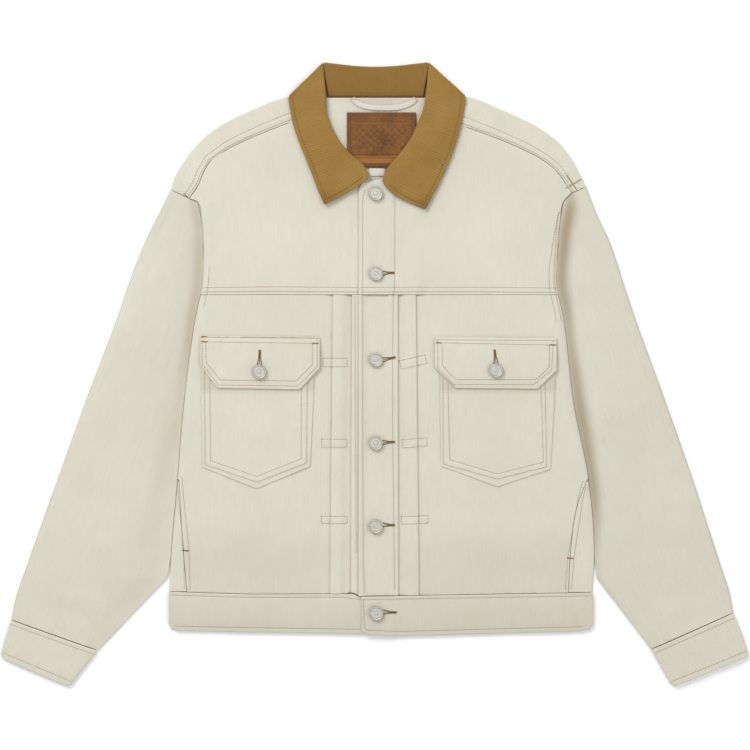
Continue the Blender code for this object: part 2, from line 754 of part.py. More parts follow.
def pocket(side):
    shape = POCKET[side]
    rows = []
    for t in (0.0, 0.15, 0.3, 0.45, 0.6, 0.75, 0.9, 1.0):
        row = []
        for (top_x, top_y), (low_x, low_y) in zip(shape["top"], shape["low"]):
            x, y = mix(low_x, top_x, t), mix(low_y, top_y, t)
            row.append((x, y, panelTop(x, y) + REST))
        rows.append(row)
    return addSheet("pocket_" + side, rows, CLOTH, 1, ecruDenim)


def flap(side):
    shape = FLAP_EDGE[side]
    rows = []
    for t in (0.0, 0.25, 0.5, 0.78, 0.9, 1.0):
        row = []
        for (top_x, top_y), (low_x, low_y) in zip(shape["top"], shape["low"]):
            x, y = mix(low_x, top_x, t), mix(low_y, top_y, t)
            over = (CLOTH + REST) * (1.0 - smooth((y - 35.0) / 8.0))
            row.append((x, y, panelTop(x, y) + REST + over))
        rows.append(row)
    return addSheet("flap_" + side, rows, FLAP, 1, ecruDenim)


# Small pieces

def levelUnder(x, y, carrier):
    """Height of the top of a finished piece at a point, in millimetres."""
    graph = bpy.context.evaluated_depsgraph_get()
    tree = BVHTree.FromObject(carrier, graph)
    above = point(x, y, 60.0)
    hit = tree.ray_cast(above, Vector((0.0, 0.0, -1.0)))[0]
    return hit.z / MM


def button(name, x, y, carrier):
    mesh = bpy.data.meshes.new(name)
    points = [(radius * MM, 0.0, height * MM) for radius, height in BUTTON_PROFILE]
    edges = [(i, i + 1) for i in range(len(points) - 1)]
    mesh.from_pydata(points, edges, [])
    made = bpy.data.objects.new(name, mesh)
    made.data.materials.append(pewter(name))
    jacket.objects.link(made)
    around = (-SHANK, 0.0, SHANK)
    level = max(levelUnder(x + dx, y + dy, carrier) for dx in around for dy in around)
    made.location = point(x, y, level)
    turn = made.modifiers.new("turn", "SCREW")
    turn.steps = BUTTON_STEPS
    turn.render_steps = BUTTON_STEPS
    turn.use_merge_vertices = True
    turn.merge_threshold = 0.00001
    return made


def buttons(left_yoke, left_panel, band, flaps):
    for number, y in enumerate(FRONT_BUTTONS, 1):
        carrier = left_yoke if y > YOKE_SEAM else left_panel if y > HEM_SEAM else band
        button("button_front_%d" % number, BUTTON_X, y, carrier)
    for side, (x, y) in FLAP_BUTTONS.items():
        button("button_flap_" + side, x, y, flaps[side])


def onYoke(name, left, right, low, high, wall, columns, lines, finish):
    """Flat piece on the inside of the back yoke."""
    rows = []
    for j in range(lines + 1):
        y = mix(low, high, j / lines)
        row = []
        for i in range(columns + 1):
            x = mix(left, right, i / columns)
            row.append((x, y, lift(x, y) + CLOTH + REST))
        rows.append(row)
    return addSheet(name, rows, wall, 1, finish)


def hangerLoop():
    rows = []
    for offset in (-0.5, 0.5):
        row = []
        for i, (x, y) in enumerate(LOOP_PATH):
            before = LOOP_PATH[max(i - 1, 0)]
            after = LOOP_PATH[min(i + 1, len(LOOP_PATH) - 1)]
            along = (Vector(after) - Vector(before)).normalized()
            px = x - along.y * offset * LOOP_WIDTH
            py = y + along.x * offset * LOOP_WIDTH
            row.append((px, py, lift(px, py) + CLOTH + REST))
        rows.append(row)
    return addSheet("hanger_loop", rows, TAPE, 1, whiteTape)


for old in list(bpy.data.objects):
    bpy.data.objects.remove(old)
jacket = bpy.data.collections.new("denim_jacket")
bpy.context.scene.collection.children.link(jacket)

backYoke()
backPanel()
yokes, panels, flaps = {}, {}, {}
for side in ("right", "left"):
    yokes[side] = frontYoke(side)
    panels[side] = frontPanel(side)
    sidePanel(side)
    sleeve(side)
    cuff(side)
    pocket(side)
    flaps[side] = flap(side)
    collarSide(side)
collarBack()
bands = waistband()
onYoke("patch", PATCH_LEFT, PATCH_RIGHT, PATCH_LOW, PATCH_HIGH, LEATHER, 6, 6, brownLeather)
onYoke("care_label", LABEL_LEFT, LABEL_RIGHT, LABEL_LOW, LABEL_HIGH, TAPE, 2, 2, whiteTape)
hangerLoop()
bpy.context.view_layer.update()
buttons(yokes["left"], panels["left"], bands[2], flaps)
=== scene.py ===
import math

import bpy
import numpy as np
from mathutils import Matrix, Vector
from mathutils.bvhtree import BVHTree


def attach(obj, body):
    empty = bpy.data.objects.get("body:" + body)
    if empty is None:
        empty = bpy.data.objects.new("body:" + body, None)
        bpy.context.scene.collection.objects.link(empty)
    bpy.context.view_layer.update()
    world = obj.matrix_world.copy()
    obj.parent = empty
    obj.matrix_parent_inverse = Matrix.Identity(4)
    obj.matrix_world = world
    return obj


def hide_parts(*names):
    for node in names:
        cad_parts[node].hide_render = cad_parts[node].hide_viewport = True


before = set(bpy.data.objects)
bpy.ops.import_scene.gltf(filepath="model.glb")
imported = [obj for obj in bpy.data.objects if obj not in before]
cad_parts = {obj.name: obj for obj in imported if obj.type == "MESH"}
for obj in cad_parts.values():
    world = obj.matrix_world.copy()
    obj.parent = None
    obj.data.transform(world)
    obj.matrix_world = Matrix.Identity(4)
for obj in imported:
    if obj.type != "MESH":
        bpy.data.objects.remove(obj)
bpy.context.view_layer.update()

# Tables and shapes below are in millimetres, +X to the wearer's left, +Y to the collar and +Z up.
# toMetres() puts them in the frame, whose origin is on the floor under the middle of the jacket.
jacket = {
    "middle": (0.6, -1.8),
    "cloth": 1.2,
    "double": 2.4,
    "flap": 2.0,
    "cord": 2.4,
    "seamGap": 0.3,
    "rest": 0.45,
    "grain": 2.6,          # size of the mesh's cells on open cloth
    "yokeSeam": 93.6,
    "backSeam": 147.6,
    "sideSeamTop": -130.0,
    "hemSeam": -262.8,
    "neckSeam": 330.6,
    "lap": 1.7,            # wearer's left front over the right
    "freeEdge": -18.4,
    "underEdge": 14.0,
}


def toMetres(points):
    shift = np.array([jacket["middle"][0], jacket["middle"][1], 0.0])
    return (np.asarray(points, float) - shift) * 0.001


def ease(t):
    t = np.clip(t, 0.0, 1.0)
    return t * t * (3.0 - 2.0 * t)


def between(a, b, t):
    return a + (b - a) * t


def bulge(distance, radius):
    # quarter round that starts at an edge and is level a radius further in
    t = 1.0 - np.clip(distance / radius, 0.0, 1.0)
    return np.sqrt(1.0 - t * t)


def fold(radius, steps=8):
    # half round of a fold, from below to above: how far out of its centre and how high each point is
    angles = [math.pi * k / steps for k in range(steps + 1)]
    return [(radius * math.sin(angle), radius - radius * math.cos(angle)) for angle in angles]


def unit(ways):
    return ways / np.linalg.norm(ways, axis=1)[:, None]


def spanOf(near, far):
    # how far one edge is from the other, and which way, at each of their points
    return np.linalg.norm(far - near, axis=1), unit(far - near)


def reached(edge, away, reach):
    # x and y of a grid of points, this far from each point of an edge
    return edge[:, :1] + away[:, :1] * reach, edge[:, 1:] + away[:, 1:] * reach


# Curves through short tables

def spline(knots, values, at):
    knots = np.asarray(knots, float)
    values = np.asarray(values, float)
    at = np.clip(np.asarray(at, float), knots[0], knots[-1])
    wide = (slice(None),) + (None,) * (values.ndim - 1)
    steps = np.diff(knots)
    rises = np.diff(values, axis=0) / steps[wide]
    before, after = steps[:-1][wide], steps[1:][wide]
    inner = (rises[:-1] * after + rises[1:] * before) / (before + after)
    slopes = np.concatenate([rises[:1], inner, rises[-1:]])
    k = np.clip(np.searchsorted(knots, at, side="right") - 1, 0, len(steps) - 1)
    t = (at - knots[k]) / steps[k]
    tail = (None,) * (values.ndim - 1)
    t = t[(...,) + tail]
    step = steps[k][(...,) + tail]
    value = values[k] * (1 + 2 * t) * (1 - t) ** 2 + values[k + 1] * t * t * (3 - 2 * t)
    return value + step * (slopes[k] * t * (1 - t) ** 2 + slopes[k + 1] * t * t * (t - 1))


def shares(points):
    points = np.asarray(points, float)
    run = np.concatenate([[0.0], np.cumsum(np.linalg.norm(np.diff(points, axis=0), axis=1))])
    return run / run[-1]


def curved(points, knots=None):
    knots = shares(points) if knots is None else knots
    return lambda at: spline(knots, points, at)


def cornered(points, knots=None):
    points = np.asarray(points, float)
    knots = shares(points) if knots is None else knots
    columns = range(points.shape[1])
    return lambda at: np.stack([np.interp(at, knots, points[:, c]) for c in columns], axis=-1)


def fillEdges(low, high, left, right, us, vs):
    # plan points filling four edges that meet at their ends: rows go from low to high
    b, t, l, r = low(us), high(us), left(vs), right(vs)
    u, v = us[None, :, None], vs[:, None, None]
    ruled = between(b[None], t[None], v) + between(l[:, None], r[:, None], u)
    return ruled - between(between(b[0], b[-1], u), between(t[0], t[-1], u), v)


def stations(length, cell, edge=1.2):
    # shares from 0 to 1, a cell apart and closer at both ends, where a wall's rim is rounded
    near = np.array([0.0, 0.12, 0.35, 0.7, 1.0]) * edge
    inner = np.linspace(edge, length - edge, max(2, int(round((length - 2 * edge) / cell)) + 1))
    return np.concatenate([near[:-1], inner, length - near[-2::-1]]) / length


def nearest(x, y, line):
    # distance to a line of plan points, and how far along it the nearest place is
    line = np.asarray(line, float)
    best = np.full(np.shape(x), 1e9)
    run = np.zeros(np.shape(x))
    start = 0.0
    for (ax, ay), (bx, by) in zip(line, line[1:]):
        dx, dy = bx - ax, by - ay
        length = math.hypot(dx, dy)
        t = np.clip(((x - ax) * dx + (y - ay) * dy) / length ** 2, 0.0, 1.0)
        distance = np.hypot(x - ax - t * dx, y - ay - t * dy)
        closer = distance < best
        best = np.where(closer, distance, best)
        run = np.where(closer, start + t * length, run)
        start += length
    return best, run


def beside(line, offset):
    # a line moved sideways, to its left when the offset is positive
    line = np.asarray(line, float)
    ways = unit(np.diff(line, axis=0))
    sides = np.stack([-ways[:, 1], ways[:, 0]], axis=1)
    corners = unit(np.concatenate([sides[:1], sides[:-1] + sides[1:], sides[-1:]]))
    lean = np.concatenate([[1.0], np.clip((sides[:-1] * corners[1:-1]).sum(axis=1), 0.5, 1.0), [1.0]])
    return line + corners * (offset / lean)[:, None]


# Softness of the cloth: broad waves, listed creases and the puckers along a seam

def waves(x, y, seed, size, height):
    rng = np.random.default_rng(seed)
    total = np.zeros(np.shape(x))
    for _ in range(9):
        turn, phase = rng.uniform(0, math.pi), rng.uniform(0, 2 * math.pi)
        length = size * rng.uniform(0.6, 1.7)
        reach = (x * math.cos(turn) + y * math.sin(turn)) / length
        total += np.sin(2 * math.pi * reach + phase) * rng.uniform(0.4, 1.0)
    return total * height / 3.0


def ripple(run, seed, size):
    rng = np.random.default_rng(seed)
    total = np.zeros(np.shape(run))
    for length in (0.62, 1.0, 1.7, 2.9):
        total += np.sin(2 * math.pi * run / (size * length) + rng.uniform(0, 6.28))
    return total / 2.4


def crease(x, y, path, depth, width):
    # a soft trough, or a ridge where the depth is negative, that fades at both ends
    start, bend, end = [np.array(p, float) for p in path]
    t = np.linspace(0, 1, 9)[:, None]
    line = start * (1 - t) ** 2 + 2 * bend * t * (1 - t) + end * t * t
    distance, run = nearest(x, y, line)
    length = np.linalg.norm(np.diff(line, axis=0), axis=1).sum()
    fade = ease(run / (0.35 * length)) * ease((length - run) / (0.35 * length))
    return -depth * fade * np.exp(-(distance / width) ** 2)


sewn = {
    "groove": 0.42,        # how far a row of stitches draws the cloth in
    "grooveWidth": 1.25,
    "ridge": 0.62,         # the folded cloth between two rows stands up by this
    "pucker": 0.30,
    "puckerSize": 9.5,
    "puckerReach": 6.0,
}


def seam(x, y, lines, ridge=1.0, pucker=1.0, seed=1):
    # relief of a seam from its rows of stitches
    relief = np.zeros(np.shape(x))
    if len(lines) == 2:
        one, _ = nearest(x, y, lines[0])
        two, _ = nearest(x, y, lines[1])
        apart = np.median(nearest(np.array(lines[0])[:, 0], np.array(lines[0])[:, 1], lines[1])[0])
        inside = ease((apart * 1.12 - one + 0.6) / 1.6) * ease((apart * 1.12 - two + 0.6) / 1.6)
        relief += sewn["ridge"] * ridge * inside
    for k, line in enumerate(lines):
        distance, run = nearest(x, y, line)
        relief -= sewn["groove"] * np.exp(-(distance / sewn["grooveWidth"]) ** 2)
        wave = ripple(run, seed * 7 + k, sewn["puckerSize"])
        reach = np.exp(-(distance / sewn["puckerReach"]) ** 2)
        relief += sewn["pucker"] * pucker * wave * reach * np.minimum(1.0, 0.25 + distance / 3.0)
    return relief


# Cloth walls

cuts = {}      # width, length and area of the cloth in each piece, laid out flat, in metres


def cutOf(middle, closed):
    if closed:
        middle = np.concatenate([middle, middle[:, :1]], axis=1)
    across = np.diff(middle, axis=1)
    along = np.diff(middle, axis=0)
    quads = np.cross(across[:-1], along[:, :-1]), np.cross(across[1:], along[:, 1:])
    area = 0.5 * sum(np.linalg.norm(quad, axis=2).sum() for quad in quads)
    width = np.linalg.norm(across, axis=2).sum(axis=1).max()
    length = np.linalg.norm(along, axis=2).sum(axis=0).max()
    return np.array([width * 0.001, length * 0.001, area * 0.000001])


def wall(name, middle, thickness, finish, closed=False, rim=None, tone=None, marks=None, raised=0.0):
    # closed wall round a grid of middle points, its rims rounded off; raised is added to the outer side
    middle = np.asarray(middle, float)
    rows, columns = middle.shape[:2]
    cuts[name] = cuts.get(name, 0.0) + cutOf(middle, closed)
    rim = 0.5 * thickness if rim is None else rim
    if closed:
        ring = np.concatenate([middle[:, -1:], middle, middle[:, :1]], axis=1)
        across = np.gradient(ring, axis=1)[:, 1:-1]
    else:
        across = np.gradient(middle, axis=1)
    along = np.gradient(middle, axis=0)
    normal = np.cross(across, along)
    normal /= np.maximum(np.linalg.norm(normal, axis=2, keepdims=True), 1e-9)
    down = np.linalg.norm(np.diff(middle, axis=0), axis=2)
    down = np.concatenate([np.zeros((1, columns)), np.cumsum(down, axis=0)])
    sideways = np.linalg.norm(np.diff(middle, axis=1), axis=2)
    sideways = np.concatenate([np.zeros((rows, 1)), np.cumsum(sideways, axis=1)], axis=1)
    inward = np.minimum(down, down[-1:] - down)
    if not closed:
        inward = np.minimum(inward, np.minimum(sideways, sideways[:, -1:] - sideways))
    rounding = bulge(inward, rim)[..., None]
    half = 0.5 * thickness * rounding
    over = np.broadcast_to(raised, (rows, columns))[..., None] * rounding
    outer, inner = middle + normal * (half + over), middle - normal * half
    rims = np.zeros((rows, columns), bool)
    rims[0] = rims[-1] = True
    if not closed:
        rims[:, 0] = rims[:, -1] = True
    outerIndex = np.arange(rows * columns).reshape(rows, columns)
    innerIndex = outerIndex.copy()
    innerIndex[~rims] = rows * columns + np.arange((~rims).sum())
    places = np.concatenate([outer.reshape(-1, 3), inner[~rims]])
    faces = []
    for index, outwards in ((outerIndex, True), (innerIndex, False)):
        if closed:
            index = np.concatenate([index, index[:, :1]], axis=1)
        a, b, c, d = index[:-1, :-1], index[:-1, 1:], index[1:, 1:], index[1:, :-1]
        quads = (a, b, c, d) if outwards else (a, d, c, b)
        faces.append(np.stack(quads, axis=-1).reshape(-1, 4))
    faces = np.concatenate(faces)
    mesh = bpy.data.meshes.new(name)
    mesh.from_pydata(toMetres(places).tolist(), [], faces.tolist())
    mesh.shade_smooth()
    laid = np.stack([sideways - sideways[:, columns // 2][:, None], down], axis=-1)
    laid = np.concatenate([laid.reshape(-1, 2), laid[~rims]]) * 0.001
    corners = np.empty(len(mesh.loops), np.int32)
    mesh.loops.foreach_get("vertex_index", corners)
    uvs = mesh.uv_layers.new(name="grain")
    uvs.data.foreach_set("uv", laid[corners].astype(np.float32).ravel())
    for label, values in (("tone", tone), ("marks", marks)):
        if values is not None:
            values = np.broadcast_to(values, (rows, columns))
            layer = mesh.attributes.new(label, "FLOAT", "POINT")
            layer.data.foreach_set("value", np.concatenate([values.ravel(), values[~rims]]).astype(np.float32))
    made = bpy.data.objects.new(name, mesh)
    made.data.materials.append(finish)
    bpy.context.collection.objects.link(made)
    return made


def keep(made, slot, *nodes):
    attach(made, "root")
    if nodes:
        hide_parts(*nodes)
    return made


# Finishes

def add(tree, kind, inputs=None, **settings):
    made = tree.nodes.new(kind)
    for key, value in settings.items():
        setattr(made, key, value)
    for key, value in (inputs or {}).items():
        if isinstance(value, bpy.types.NodeSocket):
            tree.links.new(value, made.inputs[key])
        else:
            made.inputs[key].default_value = value
    return made


def sums(tree, kind, *values):
    return add(tree, "ShaderNodeMath", dict(enumerate(values)), operation=kind).outputs[0]


def blend(tree, share, first, second, kind="MIX"):
    first, second = [c if isinstance(c, bpy.types.NodeSocket) else (*c, 1.0) for c in (first, second)]
    values = {0: share, 6: first, 7: second}
    return add(tree, "ShaderNodeMix", values, data_type="RGBA", blend_type=kind).outputs[2]


def newGroup(name, inputs, outputs):
    group = bpy.data.node_groups.new(name, "ShaderNodeTree")
    for label, kind, value in inputs:
        socket = group.interface.new_socket(label, in_out="INPUT", socket_type="NodeSocket" + kind)
        if value is not None:
            socket.default_value = value
    for label, kind in outputs:
        group.interface.new_socket(label, in_out="OUTPUT", socket_type="NodeSocket" + kind)
    return group, add(group, "NodeGroupInput").outputs, add(group, "NodeGroupOutput").inputs


def makeTwillGroup():
    # slanting ribs of a twill with the single threads across them, on the piece's own UV map
    inputs = [("Vector", "Vector", None), ("Pitch", "Float", 0.0006), ("Slant", "Float", 0.55)]
    group, given, out = newGroup("twillWeave", inputs, [("Height", "Float")])
    apart = add(group, "ShaderNodeSeparateXYZ", {"Vector": given["Vector"]})
    wobble = add(group, "ShaderNodeTexNoise", {"Vector": given["Vector"], "Scale": 260.0, "Detail": 1.0})
    slanted = sums(group, "MULTIPLY_ADD", apart.outputs[1], given["Slant"], apart.outputs[0])
    turns = sums(group, "DIVIDE", slanted, given["Pitch"])
    turns = sums(group, "MULTIPLY_ADD", wobble.outputs[0], 1.2, turns)
    ribs = sums(group, "SINE", sums(group, "MULTIPLY", turns, 2 * math.pi))
    picks = sums(group, "DIVIDE", apart.outputs[1], given["Pitch"])
    picks = sums(group, "SINE", sums(group, "MULTIPLY", picks, 3.4 * math.pi))
    height = sums(group, "MULTIPLY_ADD", picks, 0.22, sums(group, "MULTIPLY", ribs, 0.34))
    group.links.new(sums(group, "ADD", height, 0.5), out["Height"])
    return group


def makeMottleGroup():
    # cloudy and finer unevenness together, about 0.5
    inputs = [("Vector", "Vector", None), ("Cloud Scale", "Float", 14.0), ("Speck Scale", "Float", 260.0),
              ("Speck Share", "Float", 0.35)]
    group, given, out = newGroup("mottle", inputs, [("Value", "Float")])
    cloud = add(group, "ShaderNodeTexNoise",
                {"Vector": given["Vector"], "Scale": given["Cloud Scale"], "Detail": 3.0})
    speck = add(group, "ShaderNodeTexNoise",
                {"Vector": given["Vector"], "Scale": given["Speck Scale"], "Detail": 2.0})
    mixed = add(group, "ShaderNodeMix", {0: given["Speck Share"], 2: cloud.outputs[0], 3: speck.outputs[0]})
    group.links.new(mixed.outputs[0], out["Value"])
    return group


twillWeave = makeTwillGroup()
mottle = makeMottleGroup()


def newFinish(name, roughness, **fixed):
    made = bpy.data.materials.new(name)
    made.use_nodes = True
    tree = made.node_tree
    shader = tree.nodes["Principled BSDF"]
    shader.inputs["Roughness"].default_value = roughness
    for label, value in fixed.items():
        shader.inputs[label].default_value = value
    return made, tree, shader


def placed(tree):
    return add(tree, "ShaderNodeTexCoord").outputs["Object"]


def onGrain(tree):
    return add(tree, "ShaderNodeUVMap", uv_map="grain").outputs[0]


def attribute(tree, name):
    return add(tree, "ShaderNodeAttribute", attribute_name=name).outputs["Fac"]


def uneven(tree, vector, cloud, speck, share):
    values = {"Vector": vector, "Cloud Scale": cloud, "Speck Scale": speck, "Speck Share": share}
    return add(tree, "ShaderNodeGroup", values, node_tree=mottle).outputs[0]


def spread(tree, value, low, high):
    made = add(tree, "ShaderNodeMapRange", {"Value": value, "From Min": low, "From Max": high})
    return made.outputs[0]


def bumped(tree, shader, height, strength, depth):
    made = add(tree, "ShaderNodeBump", {"Height": height, "Strength": strength, "Distance": depth})
    tree.links.new(made.outputs[0], shader.inputs["Normal"])


ecru = {
    "light": (0.722, 0.700, 0.608),
    "deep": (0.676, 0.646, 0.542),
    "shade": (0.33, 0.275, 0.185),
    "fleck": (0.40, 0.31, 0.18),
    "ribs": 0.00058,
}


def makeEcruDenim():
    made, tree, shader = newFinish("ecruDenim", 0.9, **{"Sheen Weight": 0.10, "Specular IOR Level": 0.25})
    grain, place = onGrain(tree), placed(tree)
    cloud = spread(tree, uneven(tree, place, 9.0, 70.0, 0.3), 0.32, 0.68)
    base = blend(tree, cloud, ecru["light"], ecru["deep"])
    slubs = add(tree, "ShaderNodeMapping", {"Vector": grain, "Scale": (900.0, 32.0, 1.0)})
    streaks = add(tree, "ShaderNodeTexNoise", {"Vector": slubs.outputs[0], "Scale": 1.0, "Detail": 2.0})
    streak = sums(tree, "MULTIPLY", spread(tree, streaks.outputs[0], 0.35, 0.75), 0.20)
    base = blend(tree, streak, base, ecru["deep"], "MULTIPLY")
    flecks = add(tree, "ShaderNodeTexNoise", {"Vector": grain, "Scale": 620.0, "Detail": 2.0})
    fleck = sums(tree, "MULTIPLY", spread(tree, flecks.outputs[0], 0.70, 0.80), 0.5)
    base = blend(tree, fleck, base, ecru["fleck"])
    # painted shade: each piece's tone attribute darkens the cloth towards the shade colour
    base = blend(tree, attribute(tree, "tone"), base, ecru["shade"])
    weave = add(tree, "ShaderNodeGroup", {"Vector": grain, "Pitch": ecru["ribs"]}, node_tree=twillWeave)
    # painted shade in the gaps between the twill's ribs
    gaps = sums(tree, "MULTIPLY", spread(tree, weave.outputs[0], 0.45, 0.0), 0.35)
    base = blend(tree, gaps, base, ecru["shade"])
    tree.links.new(base, shader.inputs["Base Color"])
    rough = sums(tree, "MULTIPLY_ADD", flecks.outputs[0], 0.16, 0.80)
    tree.links.new(rough, shader.inputs["Roughness"])
    height = sums(tree, "MULTIPLY_ADD", streaks.outputs[0], 0.8, weave.outputs[0])
    bumped(tree, shader, height, 0.5, 0.00012)
    return made


camel = {
    "top": (0.330, 0.190, 0.044),
    "low": (0.225, 0.125, 0.027),
    "worn": (0.395, 0.240, 0.066),
    "shade": (0.130, 0.062, 0.012),
}


def makeCorduroy():
    made, tree, shader = newFinish("camelCorduroy", 0.85, **{
        "Sheen Weight": 0.35, "Sheen Roughness": 0.45, "Sheen Tint": (0.75, 0.55, 0.25, 1.0),
        "Specular IOR Level": 0.2})
    place, grain = placed(tree), onGrain(tree)
    wale = attribute(tree, "marks")
    nap = spread(tree, uneven(tree, place, 42.0, 900.0, 0.35), 0.34, 0.66)
    top = blend(tree, nap, camel["top"], camel["worn"])
    # painted shade between the wales
    base = blend(tree, sums(tree, "POWER", wale, 0.7), camel["low"], top)
    tufts = add(tree, "ShaderNodeTexNoise", {"Vector": grain, "Scale": 1500.0, "Detail": 2.0})
    base = blend(tree, sums(tree, "MULTIPLY", tufts.outputs[0], 0.35), base, camel["low"])
    # painted shade from the tone attribute
    base = blend(tree, attribute(tree, "tone"), base, camel["shade"])
    tree.links.new(base, shader.inputs["Base Color"])
    bumped(tree, shader, tufts.outputs[0], 0.6, 0.0003)
    return made


hide = {"brown": (0.255, 0.104, 0.020), "dark": (0.108, 0.041, 0.009), "worn": (0.37, 0.148, 0.028)}


def makeLeather():
    made, tree, shader = newFinish("patchLeather", 0.5, **{"Specular IOR Level": 0.28})
    place = placed(tree)
    cloud = spread(tree, uneven(tree, place, 60.0, 700.0, 0.45), 0.36, 0.64)
    base = blend(tree, cloud, hide["brown"], hide["dark"])
    base = blend(tree, attribute(tree, "tone"), base, hide["worn"])
    base = blend(tree, attribute(tree, "marks"), base, hide["dark"])
    tree.links.new(base, shader.inputs["Base Color"])
    pores = add(tree, "ShaderNodeTexVoronoi", {"Vector": place, "Scale": 900.0})
    height = sums(tree, "MULTIPLY_ADD", cloud, 0.5, pores.outputs["Distance"])
    tree.links.new(spread(tree, cloud, -1.0, 2.2), shader.inputs["Roughness"])
    bumped(tree, shader, height, 0.45, 0.0004)
    return made


def makeTape():
    made, tree, shader = newFinish("whiteTape", 0.8, **{"Sheen Weight": 0.15})
    grain = onGrain(tree)
    weave = add(tree, "ShaderNodeGroup", {"Vector": grain, "Pitch": 0.0009, "Slant": 1.0}, node_tree=twillWeave)
    base = blend(tree, weave.outputs[0], (0.62, 0.59, 0.53), (0.77, 0.75, 0.69))
    # darker where the tone attribute says so; on the loop that is painted shade at its ends
    base = blend(tree, attribute(tree, "tone"), base, (0.40, 0.35, 0.28))
    tree.links.new(base, shader.inputs["Base Color"])
    bumped(tree, shader, weave.outputs[0], 0.6, 0.0002)
    return made


def makePewter():
    made, tree, shader = newFinish("agedPewter", 0.5, **{"Metallic": 0.6})
    place = placed(tree)
    cloud = spread(tree, uneven(tree, place, 380.0, 2200.0, 0.4), 0.35, 0.65)
    base = blend(tree, cloud, (0.66, 0.66, 0.59), (0.52, 0.52, 0.45))
    # patina in the rings' hollows, and painted shade down the side and underneath
    base = blend(tree, attribute(tree, "marks"), base, (0.13, 0.12, 0.095))
    tree.links.new(base, shader.inputs["Base Color"])
    tree.links.new(sums(tree, "MULTIPLY_ADD", cloud, 0.2, 0.42), shader.inputs["Roughness"])
    bumped(tree, shader, cloud, 0.25, 0.0002)
    return made


def makeThread(name, light, dark):
    made, tree, shader = newFinish(name, 0.6, **{"Sheen Weight": 0.2, "Specular IOR Level": 0.35})
    place = placed(tree)
    ply = add(tree, "ShaderNodeTexNoise", {"Vector": place, "Scale": 1700.0, "Detail": 2.0})
    tree.links.new(blend(tree, ply.outputs[0], light, dark), shader.inputs["Base Color"])
    bumped(tree, shader, ply.outputs[0], 0.5, 0.0002)
    return made


ecruDenim = makeEcruDenim()
camelCorduroy = makeCorduroy()
patchLeather = makeLeather()
whiteTape = makeTape()
agedPewter = makePewter()
tanThread = makeThread("tanThread", (0.46, 0.39, 0.255), (0.32, 0.26, 0.16))
camelThread = makeThread("camelThread", (0.29, 0.165, 0.045), (0.18, 0.095, 0.025))
bronzeThread = makeThread("bronzeThread", (0.33, 0.19, 0.065), (0.17, 0.09, 0.03))
# a near-black thread, painted shade down the buttonholes' slits
slitShadeThread = makeThread("slitShadeThread", (0.075, 0.05, 0.03), (0.03, 0.02, 0.012))
print("finishes made")


# Stitches: one tree lays a thread's short lengths along any path

def makeStitchTree():
    tree = bpy.data.node_groups.new("stitchRow", "GeometryNodeTree")
    face = tree.interface
    face.new_socket("Geometry", in_out="INPUT", socket_type="NodeSocketGeometry")
    for label, value in (("Spacing", 0.0032), ("Length", 0.0027), ("Width", 0.0008), ("Height", 0.0006),
                         ("Turn", 0.0), ("Waver", 0.06)):
        face.new_socket(label, in_out="INPUT", socket_type="NodeSocketFloat").default_value = value
    face.new_socket("Seed", in_out="INPUT", socket_type="NodeSocketInt").default_value = 1
    face.new_socket("Thread", in_out="INPUT", socket_type="NodeSocketMaterial")
    face.new_socket("Geometry", in_out="OUTPUT", socket_type="NodeSocketGeometry")
    given = add(tree, "NodeGroupInput").outputs
    path = add(tree, "GeometryNodeMeshToCurve", {"Mesh": given["Geometry"]})
    level = add(tree, "GeometryNodeSetCurveNormal", {"Curve": path.outputs[0]}, mode="Z_UP")
    steps = add(tree, "GeometryNodeResampleCurve",
                {"Curve": level.outputs[0], "Length": given["Spacing"]}, mode="LENGTH")
    drop = add(tree, "GeometryNodeMeshUVSphere", {"Segments": 6, "Rings": 4, "Radius": 0.5})
    size = add(tree, "ShaderNodeCombineXYZ",
               {"X": given["Length"], "Y": given["Width"], "Z": given["Height"]})
    along = add(tree, "FunctionNodeAlignRotationToVector",
                {"Vector": add(tree, "GeometryNodeInputTangent").outputs[0]}, axis="X")
    flat = add(tree, "FunctionNodeAlignRotationToVector",
               {"Rotation": along.outputs[0], "Vector": add(tree, "GeometryNodeInputNormal").outputs[0]},
               axis="Y", pivot_axis="X")
    low, high = [sums(tree, kind, given["Turn"], given["Waver"]) for kind in ("SUBTRACT", "ADD")]
    yaw = add(tree, "FunctionNodeRandomValue", {2: low, 3: high, "Seed": given["Seed"]},
              data_type="FLOAT")
    turned = add(tree, "ShaderNodeCombineXYZ", {"Z": yaw.outputs[1]})
    spun = add(tree, "FunctionNodeEulerToRotation", {0: turned.outputs[0]})
    pose = add(tree, "FunctionNodeRotateRotation",
               {"Rotation": flat.outputs[0], "Rotate By": spun.outputs[0]}, rotation_space="LOCAL")
    laid = add(tree, "GeometryNodeInstanceOnPoints",
               {"Points": steps.outputs[0], "Instance": drop.outputs[0], "Rotation": pose.outputs[0],
                "Scale": size.outputs[0]})
    real = add(tree, "GeometryNodeRealizeInstances", {"Geometry": laid.outputs[0]})
    smooth = add(tree, "GeometryNodeSetShadeSmooth", {"Geometry": real.outputs[0]})
    dyed = add(tree, "GeometryNodeSetMaterial",
               {"Geometry": smooth.outputs[0], "Material": given["Thread"]})
    add(tree, "NodeGroupOutput", {"Geometry": dyed.outputs[0]})
    return tree


stitchTree = makeStitchTree()
rowStitch = {"Spacing": 3.3, "Length": 2.9, "Width": 0.85, "Height": 0.7, "Turn": 0.0, "Waver": 0.05}
satinStitch = {"Spacing": 0.62, "Length": 1.7, "Width": 0.75, "Height": 0.8, "Turn": 90.0, "Waver": 0.12}


def surfaceOf(*pieces):
    # trees for looking down, or up, at finished pieces
    graph = bpy.context.evaluated_depsgraph_get()
    return [BVHTree.FromObject(piece, graph) for piece in pieces]


